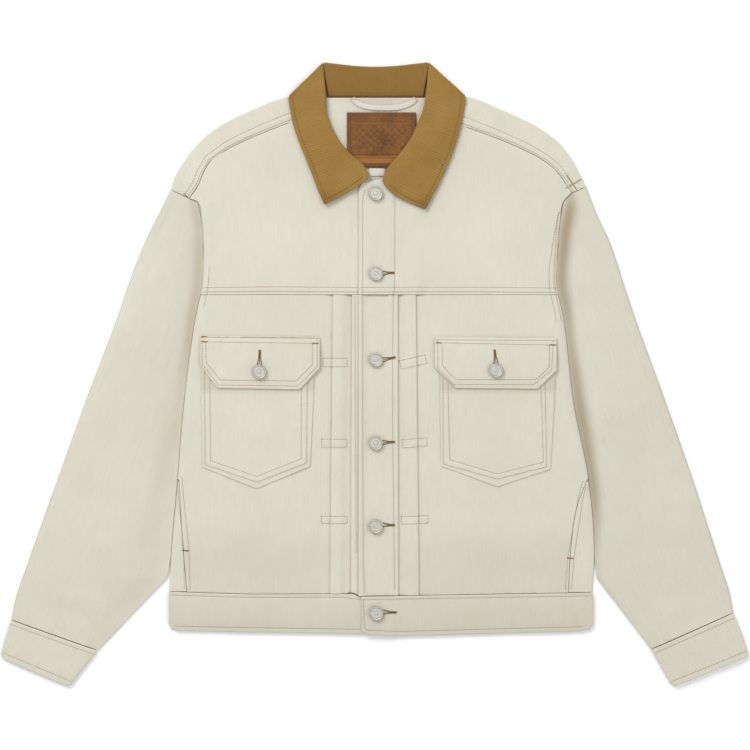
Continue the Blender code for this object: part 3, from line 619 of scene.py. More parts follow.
def levelOf(trees, x, y, under=False):
    # height of the highest of the pieces at a plan point, or of the lowest seen from beneath
    px, py, _ = toMetres([x, y, 0.0])
    start, way = (-0.05, 1.0) if under else (0.08, -1.0)
    found = []
    for tree in trees:
        hit = tree.ray_cast(Vector((px, py, start)), Vector((0.0, 0.0, way)))[0]
        if hit is not None:
            found.append(hit.z * 1000.0)
    if not found:
        return None
    return min(found) if under else max(found)


def sew(name, lines, thread, stitch, carriers, under=False, seed=1, sink=0.12):
    # rows of stitches on the pieces that carry them, each line a list of plan points
    trees = surfaceOf(*carriers)
    places, edges = [], []
    for line in lines:
        line = np.asarray(line, float)
        count = max(2, int(np.linalg.norm(np.diff(line, axis=0), axis=1).sum() / 1.4))
        last = None
        for x, y in cornered(line)(np.linspace(0, 1, count)):
            level = levelOf(trees, x, y, under)
            if level is None:
                last = None
                continue
            level += (-1.0 if under else 1.0) * (0.5 * stitch["Height"] - sink)
            places.append((x, y, level))
            if last is not None:
                edges.append((last, len(places) - 1))
            last = len(places) - 1
    mesh = bpy.data.meshes.new(name + "_path")
    mesh.from_pydata(toMetres(places).tolist(), edges, [])
    made = bpy.data.objects.new(name, mesh)
    bpy.context.collection.objects.link(made)
    rows = made.modifiers.new("stitches", "NODES")
    rows.node_group = stitchTree
    sockets = {item.name: item.identifier for item in stitchTree.interface.items_tree
               if item.in_out == "INPUT"}
    for label, value in stitch.items():
        scale = math.radians(1.0) if label == "Turn" else 1.0 if label == "Waver" else 0.001
        rows[sockets[label]] = value * scale
    rows[sockets["Seed"]] = seed
    rows[sockets["Thread"]] = thread
    graph = bpy.context.evaluated_depsgraph_get()
    plain = bpy.data.meshes.new_from_object(made.evaluated_get(graph))
    made.modifiers.clear()
    made.data = plain
    plain.name = name
    if not plain.materials:
        plain.materials.append(thread)
    return keep(made, "denim")


# Body. Side edges: y, x on the wearer's right, x on the wearer's left
bodyEdge = np.array([
    (-262.8, -245.4, 261.6), (-224.4, -243.6, 264.0), (-126.0, -235.2, 256.8),
    (-40.8, -228.0, 240.0), (78.0, -211.2, 224.4), (99.6, -206.4, 219.6),
    (150.0, -204.4, 220.2), (177.6, -205.2, 222.0), (205.0, -211.2, 226.8),
])
sideSeam = np.array([
    (-262.8, -224.4, 233.4), (-221.0, -228.0, 235.2), (-152.0, -232.6, 246.0), (-130.0, -233.6, 254.8),
])
pleatFolds = {
    "right": [(-49.2, -52.8), (-26.4, -27.6)],      # x at the yoke seam, x at the hem
    "left": [(50.4, 54.0), (28.8, 29.4)],
}
shoulder = {     # fold on top (x, y), seam on the front (x, y), from the armhole to the neck
    "right": np.array([
        (-243.6, 219.6, -222.0, 209.3), (-237.6, 237.6, -211.2, 224.4), (-226.8, 255.6, -205.2, 239.0),
        (-212.4, 273.6, -196.0, 254.0), (-192.0, 291.6, -178.0, 266.8), (-171.6, 303.6, -160.5, 276.0),
        (-145.2, 315.6, -135.0, 286.8), (-115.2, 327.6, -104.0, 298.9), (-88.0, 334.5, -86.0, 305.6)]),
    "left": np.array([
        (254.4, 223.2, 237.6, 216.0), (247.2, 237.6, 228.0, 230.0), (237.6, 255.6, 219.0, 242.0),
        (224.4, 273.6, 205.0, 253.6), (201.6, 291.6, 184.8, 265.0), (180.0, 303.6, 168.0, 272.8),
        (152.4, 315.6, 143.0, 282.8), (123.6, 327.6, 113.0, 293.6), (95.0, 335.0, 93.0, 300.6)]),
}
neckEdge = {
    "right": [(-78.0, 287.0), (-60.0, 260.0), (-36.0, 243.0), (-10.0, 232.0), (14.0, 226.0)],
    "left": [(86.0, 285.0), (71.0, 260.0), (54.0, 243.5), (30.0, 235.5), (8.0, 232.5),
             (-7.0, 228.8), (-16.0, 225.8), (-18.4, 219.0)],
}
hemLine = {
    "right": np.array([(-246.0, -262.2), (-200.0, -263.6), (-146.4, -265.2), (-24.0, -264.7),
                       (-18.6, -268.0), (14.0, -268.0)]),
    "left": np.array([(-17.4, -267.6), (58.0, -266.6), (190.0, -264.4), (262.4, -263.2)]),
}
bandEdge = {
    "right": [(-246.0, -299.0), (-244.0, -305.0), (-237.0, -308.6), (-200.0, -309.6), (-146.4, -310.6),
              (-96.0, -311.3), (-66.0, -311.7), (-50.0, -312.0), (-24.0, -312.4), (-18.6, -312.4),
              (12.0, -312.6)],
    "left": [(-15.0, -309.0), (-10.0, -313.0), (12.0, -314.4), (26.0, -315.0), (40.0, -315.0),
             (54.0, -314.5), (70.0, -314.2), (110.0, -313.0), (190.0, -311.0), (248.0, -309.6),
             (259.0, -307.0), (262.4, -301.0)],
}
backBand = (-243.5, 259.5, -307.8, -268.0)      # left, right, low, high
body = {
    "collarLift": 2.7,
    "lifted": (-118.0, 124.0, 289.0),
    "liftRamp": 62.0,
    "edgeGap": 0.3,
    "crown": 3.3,
    "crownPlace": 0.55,
    "pleatRadius": 0.75,
    "pleatDepth": 8.0,
    "sideRadius": 0.75,
    "shoulderRadius": 1.1,
    "sideFold": 16.0,       # cloth turned under at the side
    "puff": 3.0,            # how far the cloth stands up inside the armholes
    "puffEdge": 7.0,
}
pleatStack = 4 * body["pleatRadius"]
frontCreases = [      # start, bend, end, depth, width: troughs, and ridges where the depth is negative
    ((-196, 190), (-165, 140), (-150, 112), 0.7, 12.0),
    ((-120, 262), (-110, 215), (-118, 150), 0.5, 15.0),
    ((-176, 240), (-140, 190), (-126, 160), -0.6, 17.0),
    ((92, 236), (128, 190), (136, 124), 0.5, 15.0),
    ((186, 214), (176, 150), (190, 108), 0.6, 11.0),
    ((150, 250), (160, 200), (158, 130), -0.5, 16.0),
    ((-186, 62), (-130, 70), (-80, 84), 0.4, 11.0),
    ((96, 84), (140, 66), (200, 72), 0.45, 12.0),
    ((-222, -146), (-170, -168), (-110, -150), 0.6, 14.0),
    ((-150, -252), (-110, -236), (-70, -250), 0.8, 9.0),
    ((-196, -236), (-170, -204), (-160, -168), -0.5, 13.0),
    ((70, -160), (130, -176), (200, -150), 0.6, 15.0),
    ((110, -250), (160, -232), (216, -246), 0.7, 10.0),
    ((226, -130), (214, -60), (222, 0), 0.5, 9.0),
    ((-216, -110), (-210, -50), (-214, 10), 0.5, 9.0),
]


def edgeX(side, y):
    return spline(bodyEdge[:, 0], bodyEdge[:, 1 if side == "right" else 2], y)


def hemY(side, x):
    table = hemLine[side]
    return np.interp(x, table[:, 0], table[:, 1])


def lift(x, y):
    left, right, low = body["lifted"]
    outside = np.maximum(np.maximum(left - x, x - right), np.maximum(low - y, 0.0))
    return body["collarLift"] * (1.0 - ease(outside / body["liftRamp"]))


def crown(x, y):
    left, right = edgeX("right", y), edgeX("left", y)
    across = np.minimum(1.0, np.abs(x - (left + right) / 2) / ((right - left) / 2))
    place = body["crownPlace"]
    inner = 0.8 + 0.2 * np.cos(math.pi * (across / place - 1.0))
    outer = 1.0 - np.maximum(0.0, (across - place) / (1.0 - place)) ** 3
    lobe = np.where(across < place, inner, outer)
    down = between(0.4, 1.0, ease((y - jacket["hemSeam"]) / 140.0))
    up = 1.0 - ease((y - 110.0) / 90.0)
    over = 0.7 * ease((y - 120.0) / 90.0)
    return body["edgeGap"] + np.maximum(body["crown"] * lobe * down * up, over)


def fromSides(x, y):
    return np.minimum(x - edgeX("right", y), edgeX("left", y) - x)


def puff(x, y):
    # the front's own roundness along armhole and side, down to nothing at its very edge
    edge = fromSides(x, y)
    tall = ease((y + 275.0) / 90.0) * (1.0 - 0.8 * ease((y - 168.0) / 46.0))
    tall = tall * between(0.45, 1.0, ease((y + 190.0) / 120.0))
    return body["puff"] * tall * bulge(np.maximum(edge, 0.0), body["puffEdge"]) * \
        between(1.0, 0.3, ease(edge / 130.0))


def softness(x, y):
    total = waves(x, y, 11, 92.0, 0.55) + waves(x, y, 12, 34.0, 0.13)
    for start, bend, end, depth, width in frontCreases:
        total = total + crease(x, y, (start, bend, end), depth, width)
    return total * ease(fromSides(x, y) / 9.0)


def frontUnder(x, y):
    return lift(x, y) + jacket["cloth"] + crown(x, y) + puff(x, y) + softness(x, y)


def swell(x, y):
    # yoke and band ride over the stacked cloth of the pleats
    inner = pleatFolds["right"][0][0], pleatFolds["left"][0][0]
    outside = np.maximum(np.maximum(inner[0] - x, x - inner[1]), 0.0)
    across = 1.0 - ease(outside / 14.0)
    above = 1.0 - ease((y - jacket["yokeSeam"]) / 60.0)
    below = 0.5 * (1.0 - ease((jacket["hemSeam"] - y) / 34.0))
    return pleatStack * across * np.where(y > 0, above, below)


def lapRise(x):
    return jacket["lap"] * (1.0 - ease((x - jacket["underEdge"] - 1.0) / 24.0))


def frontTop(side, x, y):
    top = frontUnder(x, y) + jacket["cloth"] + swell(x, y)
    return top + (lapRise(x) if side == "left" else 0.0)


def lapShade(x):
    # painted shade on the right front, where the left one's edge lies on it
    return 0.55 * np.exp(-((x - jacket["freeEdge"] + 0.5) / 0.9) ** 2)


def collarShade(side, x, y):
    # and duller under the collar's fall, which keeps the light off it
    line = collarEdges["left"]["outer"][:7] if side == "left" else [(-59.4, 201.0), (-24.0, 217.0)]
    away, _ = nearest(x, y, line)
    return (0.16 if side == "left" else 0.12) * np.exp(-(away / 9.0) ** 2)


# Rows of stitches on the fronts
yokeRows = {
    "right": [[(-204.0, 97.2), (-120.0, 97.8), (-17.5, 97.0)],
              [(-204.0, 102.2), (-120.0, 103.2), (-17.5, 102.4)]],
    "left": [[(-14.5, 96.8), (60.0, 97.4), (150.0, 97.2), (217.5, 96.4)],
             [(-14.5, 102.4), (60.0, 102.8), (150.0, 102.6), (217.5, 101.6)]],
}
edgeRow = [(-11.8, -262.0), (-13.0, -220.0), (-13.8, 0.0), (-13.6, 199.0), (-13.2, 212.0), (-10.6, 218.6)]
facingRow = [(24.6, -259.5), (23.8, -180.0), (22.4, -80.0), (22.0, 0.0), (23.0, 92.0), (24.6, 100.0),
             (25.2, 214.0)]
rightFacingRow = [(-21.4, -214.0), (-22.2, -60.0), (-22.6, 91.0)]
sideRows = {
    "right": [[(-227.4, -258.0), (-228.0, -212.0), (-234.2, -150.0), (-235.4, -134.0)],
              [(-220.6, -258.0), (-221.6, -212.0), (-228.0, -150.0), (-230.0, -126.0)]],
    "left": [[(229.6, -258.0), (232.2, -221.6), (244.6, -150.0), (249.6, -130.0)],
             [(237.0, -258.0), (239.4, -221.6), (250.4, -150.0), (254.2, -134.0)]],
}


def shoulderRow(side, atArm, atNeck):
    # follows the front shoulder seam, this far above it at its two ends
    seamLine = shoulder[side][:, 2:]
    up = between(atArm, atNeck, shares(seamLine))
    return beside(seamLine, up) if side == "right" else beside(seamLine[::-1], up[::-1])


def shoulderRows(side):
    return [shoulderRow(side, 2.4, 2.6), shoulderRow(side, 6.8, 11.2)]


def armholeRows(side):
    # on the body, beside the seam of the sleeve: a short stretch on the wearer's right, two rows on the left
    if side == "right":
        heights = np.linspace(126.0, 80.0, 8)
        return [np.stack([edgeX(side, heights) + 7.0, heights], axis=1)]
    heights = np.linspace(192.0, 64.0, 18)
    apart = 5.6 * (1.0 - ease((heights - 118.0) / 74.0))
    return [np.stack([edgeX(side, heights) - inset, heights], axis=1) for inset in (2.8, 3.4 + apart)]


def makeFrontYoke(side):
    table = shoulder[side]
    down = unit(table[:, 2:] - table[:, :2])
    top = np.concatenate([table[:, 2:] + down * jacket["seamGap"], neckEdge[side]])
    centre = top[-1][0]
    lowY = jacket["yokeSeam"] + jacket["seamGap"] / 2
    heights = [lowY, 110.0, 135.0, 160.0, 185.0, 205.0]
    armhole = np.array([(edgeX(side, y), y) for y in heights] + [tuple(top[0])])
    share = (centre - armhole[0][0]) / (centre - top[0][0])
    bottom = np.stack([centre + (top[:, 0] - centre) * share, np.full(len(top), lowY)], axis=1)
    front = np.stack([np.full(len(armhole), centre), between(lowY, top[-1][1], shares(armhole))], axis=1)
    us = stations(abs(armhole[0][0] - centre), jacket["grain"])
    vs = stations(armhole[-1][1] - lowY, jacket["grain"])
    knots = shares(bottom)
    plan = fillEdges(cornered(bottom), curved(top, knots), curved(armhole), cornered(front), us, vs)
    if side == "left":
        plan = plan[:, ::-1]
    x, y = plan[..., 0], plan[..., 1]
    z = frontTop(side, x, y) - jacket["cloth"] / 2
    z = z + seam(x, y, yokeRows[side], 1.0, 1.0, 3)
    z = z + seam(x, y, [shoulderRow(side, -1.2, -1.2)], 0.0, 0.9, 5)
    z = z + seam(x, y, armholeRows(side), 0.3, 0.6, 9)
    if side == "left":
        z = z + seam(x, y, [edgeRow], 0.0, 0.5, 7) + seam(x, y, [facingRow], 0.0, 0.6, 8)
        fromEdge = x - jacket["freeEdge"]
        z = z + 0.35 * (1.0 - ease((x - 22.0) / 3.0)) * ease(fromEdge / 2.0)
    tone = collarShade(side, x, y)
    if side == "right":
        tone = np.maximum(tone, lapShade(x))
    made = wall("frontYoke" + side.title(), np.dstack([x, y, z]), jacket["cloth"], ecruDenim, rim=0.8,
                tone=tone)
    return keep(made, "denim", "front_yoke_" + side)


def pleatSection(foldX, endLevel, towards, slope=(2.5, 10.0)):
    # section of one knife pleat as distance towards the front edge and height
    radius, depth = body["pleatRadius"], body["pleatDepth"]
    start = radius + jacket["cloth"] / 2
    section = [(depth + out, up) for out, up in fold(radius)]
    section += [(start - out, 2 * radius + up) for out, up in fold(radius)]
    section += [(depth + slope[0], pleatStack + 0.25), (depth + slope[1], endLevel)]
    return [(foldX + towards * x, z) for x, z in section]


def stepsAlong(section, cell):
    # how many steps each stretch of a section is cut into, none longer than a cell
    return [max(1, math.ceil(abs(bx - ax) / cell)) for (ax, _), (bx, _) in zip(section, section[1:])]


def frontSection(side, y):
    towards = 1 if side == "right" else -1
    column = 1 if side == "right" else 2
    seamX = spline(sideSeam[:, 0], sideSeam[:, column], y) + towards * jacket["seamGap"]
    start = float(np.where(y < jacket["sideSeamTop"] + 1.0, seamX, edgeX(side, y)))
    t = (jacket["yokeSeam"] - y) / (jacket["yokeSeam"] - jacket["hemSeam"])
    outer, inner = [between(top, low, t) for top, low in pleatFolds[side]]
    section = [(start, 0.0), (between(start, outer, 0.5), 0.0)]
    section += pleatSection(outer, 0.0, towards, (1.5, 12.0))
    lap = jacket["lap"]
    if side == "right":
        section += pleatSection(inner, 0.0, towards)
        section += [(jacket["underEdge"], 0.0)]
    else:
        section += pleatSection(inner, lap, towards)[:-1]
        overlap = pleatFolds["right"][1][0] + body["pleatDepth"]
        section += [(jacket["underEdge"] + 1.0, lap), (overlap + 10.0, lap),
                    (overlap + 2.0, lap + pleatStack), (jacket["freeEdge"], lap + pleatStack)]
    return section


def makeFrontPanel(side):
    lowY, highY = jacket["hemSeam"], jacket["yokeSeam"] - jacket["seamGap"] / 2
    heights = lowY + (highY - lowY) * stations(highY - lowY, 3.0)
    steps = stepsAlong(frontSection(side, -84.0), 2.8)
    rows = []
    for y in heights:
        section = frontSection(side, y)
        row = []
        for k, ((ax, az), (bx, bz)) in enumerate(zip(section, section[1:])):
            for i in range(steps[k]):
                t = i / steps[k]
                row.append((between(ax, bx, t), between(az, bz, float(ease(t)))))
        row.append(section[-1])
        row[1:1] = [(between(row[0][0], row[1][0], t), 0.0) for t in (0.15, 0.45)]
        last, before = row[-1], row[-2]
        row[-1:-1] = [(between(before[0], last[0], t), last[1]) for t in (0.7, 0.9)]
        rows.append(row)
    rows = np.array(rows)
    x, up = rows[..., 0], rows[..., 1]
    y = np.broadcast_to(heights[:, None], x.shape).copy()
    foot = hemY(side, x[0]) + jacket["seamGap"]
    if side == "right":
        foot = np.where(x[0] > pleatFolds[side][1][1] - 3.0, foot + 1.3, foot)
    near = np.clip(1.0 - (heights - lowY) / 30.0, 0.0, 1.0)[:, None]
    y = y + (foot - lowY)[None, :] * near
    z = frontUnder(x, y) + jacket["cloth"] / 2 + up
    rows = panelRows(side)
    z = z + seam(x, y, [rows[0]], 0.0, 1.0, 13) if side == "right" else \
        z + seam(x, y, [edgeRow], 0.0, 0.6, 7) + seam(x, y, [facingRow], 0.0, 0.8, 8)
    z = z + seam(x, y, sideRows[side], 0.5, 0.7, 17) + seam(x, y, armholeRows(side), 0.3, 0.6, 9)
    top = yokeRows[side][0]
    distance, run = nearest(x, y, top)
    z = z + 0.25 * ripple(run, 19, 10.0) * np.exp(-(distance / 10.0) ** 2)
    distance, run = nearest(x, y, hemLine[side])
    z = z + 0.45 * ripple(run, 23, 16.0) * np.exp(-(distance / 14.0) ** 2)
    for stay in stays[side]:
        z = z + seam(x, y, [stayLine(stay)], 0.0, 0.5, 29)
        distance, _ = nearest(x, y, [stay[0], stay[1]])
        z = z + 0.4 * np.exp(-(distance / (0.42 * stay[2])) ** 4) - 0.3 * np.exp(-(distance / 9.0) ** 2)
    # painted shade: darker towards the hem, away from the middle
    low = 0.13 * ease((-165.0 - y) / 60.0) * ease((np.abs(x) - 30.0) / 40.0)
    tone = np.maximum(foldShade(side, x, y, up), low)
    if side == "left":
        x, y, z, tone = x[:, ::-1], y[:, ::-1], z[:, ::-1], tone[:, ::-1]
    made = wall("frontPanel" + side.title(), np.dstack([x, y, z]), jacket["cloth"], ecruDenim,
                rim=0.8, tone=tone)
    return keep(made, "denim", "front_panel_" + side)


def panelRows(side):
    return [rightFacingRow] if side == "right" else [edgeRow, facingRow]


def foldShade(side, x, y, up):
    # cloth inside a pleat keeps the shade of its fold
    deep = lapShade(x) if side == "right" else np.zeros(np.shape(x))
    for (top, low), strength in zip(pleatFolds[side], (0.22, 0.34) if side == "right" else (0.0, 0.05)):
        t = (jacket["yokeSeam"] - y) / (jacket["yokeSeam"] - jacket["hemSeam"])
        foldX = between(top, low, t)
        towards = 1 if side == "right" else -1
        away = (foldX - x) * towards
        deep = np.maximum(deep, strength * np.exp(-np.maximum(away, 0.0) / 1.6) * (away > -0.4) * (up < 0.9))
    return deep


# Box stays that hold the pleats: middle of each end, width
stays = {
    "right": [((-61.0, 12.6), (-32.0, 12.6), 10.4), ((-62.5, -84.0), (-32.5, -84.0), 9.6),
              ((-63.0, -175.8), (-32.0, -175.8), 8.6)],
    "left": [((31.5, 9.6), (62.0, 16.6), 10.4), ((34.0, -84.8), (63.4, -82.6), 9.8),
             ((32.8, -176.6), (64.6, -175.4), 9.2)],
}


def stayLine(stay):
    (ax, ay), (bx, by), width = stay
    length = math.hypot(bx - ax, by - ay)
    nx, ny = -(by - ay) / length * width / 2, (bx - ax) / length * width / 2
    return [(ax + nx, ay + ny), (bx + nx, by + ny), (bx - nx, by - ny), (ax - nx, ay - ny), (ax + nx, ay + ny)]


def makeSidePanel(side):
    inward = 1 if side == "right" else -1
    column = 1 if side == "right" else 2
    lowY = float(hemY(side, edgeX(side, jacket["hemSeam"]))) + jacket["seamGap"]
    heights = lowY + (jacket["sideSeamTop"] - lowY) * stations(jacket["sideSeamTop"] - lowY, 3.0)
    radius, half = body["sideRadius"], jacket["cloth"] / 2
    rows = []
    for y in heights:
        edge = float(edgeX(side, y))
        seamX = float(spline(sideSeam[:, 0], sideSeam[:, column], y))
        centre = edge + inward * (radius + half)
        row = [(edge + inward * d, half) for d in (body["sideFold"], 15.4, 14.0, 11.0, 8.0, 5.0)]
        row += [(centre - inward * out, half + up) for out, up in fold(radius)]
        for t in (0.15, 0.3, 0.45, 0.6, 0.75, 0.9, 0.96, 1.0):
            x = between(centre, seamX, t)
            if inward * (x - centre) > 0.15:
                row.append((x, float(frontUnder(x, y)) + half))
            else:
                row.append((centre + inward * 0.3 * t, half + 2 * radius + 0.02 * t))
        rows.append([(x, y, z) for x, z in row])
    rows = np.array(rows)
    if side == "left":
        rows = rows[:, ::-1]
    top = rows[..., 2] > 1.9
    rows[..., 2] += np.where(top, seam(rows[..., 0], rows[..., 1], sideRows[side], 0.5, 0.7, 17), 0.0)
    made = wall("sidePanel" + side.title(), rows, jacket["cloth"], ecruDenim, rim=0.7)
    return keep(made, "denim", "side_panel_" + side)


def makeBackPanel():
    lowY, highY = backBand[3] + jacket["seamGap"], jacket["backSeam"] - jacket["seamGap"]
    rows = []
    for y in lowY + (highY - lowY) * stations(highY - lowY, 7.0):
        inset = between(18.0, 1.0, float(ease((y + 129.0) / 6.0)))
        low, high = float(edgeX("right", y)) + inset, float(edgeX("left", y)) - inset
        rows.append([(between(low, high, t), y, 0.6) for t in stations(450.0, 7.0)])
    rows = np.array(rows)
    x, y = rows[..., 0], rows[..., 1]
    rise = np.maximum(0.0, waves(x, y, 31, 120.0, 0.5))
    edge = np.minimum(np.minimum(y - lowY, highY - y), np.minimum(x - x[:, :1], x[:, -1:] - x))
    rows[..., 2] += rise * ease(edge / 30.0)
    made = wall("backPanel", rows, jacket["cloth"], ecruDenim, rim=1.0)
    return keep(made, "denim", "back_panel")


def makeBackYoke():
    # the flat yoke, and over each shoulder a strip that turns down to the front seam
    radius, half = body["shoulderRadius"], jacket["cloth"] / 2
    off = radius + half
    tops = [table[:, :2] + unit(table[:, 2:] - table[:, :2]) * off
            for table in (shoulder["right"], shoulder["left"][::-1])]
    neck = np.array([(x, jacket["neckSeam"] - 0.6) for x in (-57.0, -28.0, 2.0, 32.0, 62.0)])
    top = np.concatenate([tops[0], neck, tops[1]])
    seamY = jacket["backSeam"] + jacket["seamGap"]
    heights = [seamY, 164.0, 184.0, 205.0]
    leftEdge = np.array([(float(edgeX("right", y)) + 1.3, y) for y in heights] + [tuple(top[0])])
    rightEdge = np.array([(float(edgeX("left", y)) - 1.3, y) for y in heights] + [tuple(top[-1])])
    span = top[-1][0] - top[0][0]
    width = rightEdge[0][0] - leftEdge[0][0]
    along = leftEdge[0][0] + (top[:, 0] - top[0][0]) / span * width
    bottom = np.stack([along, np.full(len(top), seamY)], axis=1)
    plan = fillEdges(cornered(bottom), cornered(top, shares(bottom)), curved(leftEdge), curved(rightEdge),
                     stations(450.0, 4.0), stations(170.0, 4.0))
    x, y = plan[..., 0], plan[..., 1]
    z = lift(x, y) + half
    inNeck = np.exp(-((x - 3.0) / 46.0) ** 4) * ease((y - 262.0) / 18.0)
    z = z + inNeck * (0.22 * ripple(x, 37, 21.0) + 0.25)
    # painted shade inside the neck, deepest just under the collar
    tone = 0.10 * inNeck + 0.22 * inNeck * ease((y - 318.0) / 12.0)
    made = [wall("backYoke", np.dstack([x, y, z]), jacket["cloth"], ecruDenim, rim=1.0, tone=tone)]
    for side in ("right", "left"):
        table = shoulder[side]
        line = spline(shares(table[:, :2]), table, stations(210.0, 2.6))
        if side == "left":
            line = line[::-1]
        rows = []
        for fx, fy, sx, sy in line:
            away = np.array([sx - fx, sy - fy])
            length = np.linalg.norm(away)
            away /= length
            base = float(lift(fx + away[0] * off, fy + away[1] * off)) + half
            row = [(fx + away[0] * (off - out), fy + away[1] * (off - out), base + up)
                   for out, up in fold(radius)]
            end = length - jacket["seamGap"] / 2
            for t in (0.08, 0.17, 0.27, 0.37, 0.47, 0.57, 0.66, 0.74, 0.82, 0.89, 0.95, 0.98, 1.0):
                reach = between(off, end, t)
                px, py = fx + away[0] * reach, fy + away[1] * reach
                low = float(lift(px, py)) + half + 2 * radius
                high = float(frontTop(side, sx, sy)) - half
                row.append((px, py, between(low, max(low, high), float(ease(t)))))
            rows.append(row)
        rows = np.array(rows).transpose(1, 0, 2)[::-1]
        x, y = rows[..., 0], rows[..., 1]
        grow = np.linspace(1.0, 0.0, rows.shape[0])[:, None]
        relief = seam(x, y, shoulderRows(side), 1.0, 1.0, 41)
        relief = relief + waves(x, y, 43, 40.0, 0.35)
        rows[..., 2] += relief * ease(grow * 2.2)
        made.append(wall("strip" + side.title(), rows, jacket["cloth"], ecruDenim, rim=0.7))
    yoke = joined("backYoke", made)
    cuts["backYoke"] += cuts["stripRight"] * (0.0, 0.0, 1.0) + cuts["stripLeft"] * (0.0, 0.0, 1.0)
    cuts["backYoke"][1] += cuts["stripRight"][1]
    return keep(yoke, "denim", "back_yoke")


def joined(name, pieces):
    with bpy.context.temp_override(active_object=pieces[0], selected_editable_objects=pieces):
        bpy.ops.object.join()
    pieces[0].name = name
    return pieces[0]


def makeWaistband():
    thick = jacket["double"]
    left, right, low, high = backBand
    rows = [[(x, y, thick / 2) for x in between(left, right, stations(right - left, 8.0))]
            for y in between(low, high, stations(high - low, 4.0))]
    back = wall("waistbandBack", np.array(rows), thick, ecruDenim, rim=1.2)
    made = {"back": keep(back, "denim", "waistband_back")}
    for side in ("right", "left"):
        edge = np.array(bandEdge[side])
        xs = edge[0][0] + (edge[-1][0] - edge[0][0]) * stations(edge[-1][0] - edge[0][0], 2.6, 1.6)
        low = np.interp(xs, edge[:, 0], edge[:, 1])
        high = hemY(side, xs)
        vs = stations(46.0, 2.2, 1.6)
        x = np.broadcast_to(xs[None], (len(vs), len(xs)))
        y = between(low[None], high[None], vs[:, None])
        over = (thick + jacket["rest"]) / jacket["lap"] * lapRise(x) if side == "left" else 0.0
        full = 0.7 * ease(vs)[:, None] * (1.0 - ease((np.abs(x) - 180.0) / 60.0))
        z = thick * 1.5 + jacket["seamGap"] + full + over + swell(x, y)
        z = z + waves(x, y, 51, 60.0, 0.35) + 0.5 * np.sin(math.pi * vs)[:, None]
        for k, row in enumerate(bandRows(side)):
            z = z + seam(x, y, [row], 0.0, 1.0, 53 + k)
        # painted shade: the band a little darker all over, most of all towards its lower edge
        tone = 0.12 + 0.10 * ease(1.0 - vs)[:, None] + 0.0 * x
        made[side] = keep(wall("waistband" + side.title(), np.dstack([x, y, z]), thick, ecruDenim, rim=1.1,
                               tone=tone), "denim", "waistband_" + side)
    return made


def bandRows(side):
    edge = np.array(bandEdge[side])
    inner = (edge[:, 0] > edge[0][0] + 5.0) & (edge[:, 0] < edge[-1][0] - 4.0)
    lower = edge[inner] + (0.0, 5.6)
    start, end = edge[0][0] + 3.0, edge[-1][0] - 3.0
    xs = np.linspace(start, end, 12)
    upper = np.stack([xs, hemY(side, xs) - 3.6], axis=1)
    if side == "left":
        front = [(-12.4, -272.0), (-12.0, -300.0), (-10.0, -307.6)]
        return [upper, np.concatenate([front, lower])]
    return [upper, lower]


# Sleeves, from armhole to cuff: outer edge (x, y), inner edge (x, y)
sleeveEdges = {
    "right": np.array([
        (-244.2, 217.4, -212.0, 202.2), (-258.0, 190.8, -205.8, 177.6), (-272.4, 162.0, -205.0, 150.0),
        (-296.0, 102.0, -207.0, 99.6), (-304.0, 78.0, -211.8, 78.0), (-346.0, -34.0, -228.6, -40.8),
        (-376.0, -118.0, -235.8, -126.0), (-409.0, -210.0, -244.2, -224.4), (-418.0, -236.0, -247.6, -245.0),
        (-428.0, -264.0, -289.2, -288.0), (-435.0, -295.2, -331.2, -332.4)]),
    "left": np.array([
        (255.0, 221.0, 227.6, 204.6), (267.0, 190.8, 222.6, 177.6), (280.8, 162.0, 220.8, 150.0),
        (301.0, 102.0, 220.2, 99.6), (309.0, 78.0, 225.0, 78.0), (349.5, -34.0, 240.6, -40.8),
        (379.0, -118.0, 257.4, -126.0), (409.0, -210.0, 264.6, -224.4), (417.5, -236.0, 267.6, -247.0),
        (425.5, -260.0, 300.0, -289.2), (430.8, -286.8, 331.8, -331.2)]),
}
cuffEdges = {
    "right": np.array([
        (-435.2, -295.9, -331.7, -333.0), (-443.6, -322.0, -350.5, -357.0),
        (-447.4, -337.0, -362.5, -373.4), (-446.0, -341.5, -367.0, -375.4)]),
    "left": np.array([
        (431.0, -287.5, 332.3, -331.8), (442.0, -315.0, 345.5, -355.5),
        (448.6, -336.5, 356.0, -373.6), (447.6, -340.5, 361.0, -375.4)]),
}
arms = {
    "length": 620.0,
    "radius": 1.1,          # of the fold along a sleeve's outer edge
    "wrap": 16.0,           # cloth turned under there
    "crown": 5.4,
    "rise": 40.0,           # how far the cloth takes to rise beside the body
    "roll": 30.0,           # and at the outer fold
    "bodyGap": 0.3,
    "tuck": 1.4,            # how far the under sleeve reaches beneath the body's edge
    "cuffRadius": 1.5,
    "cuffBase": 1.28,
    "cuffCrown": 1.6,
}
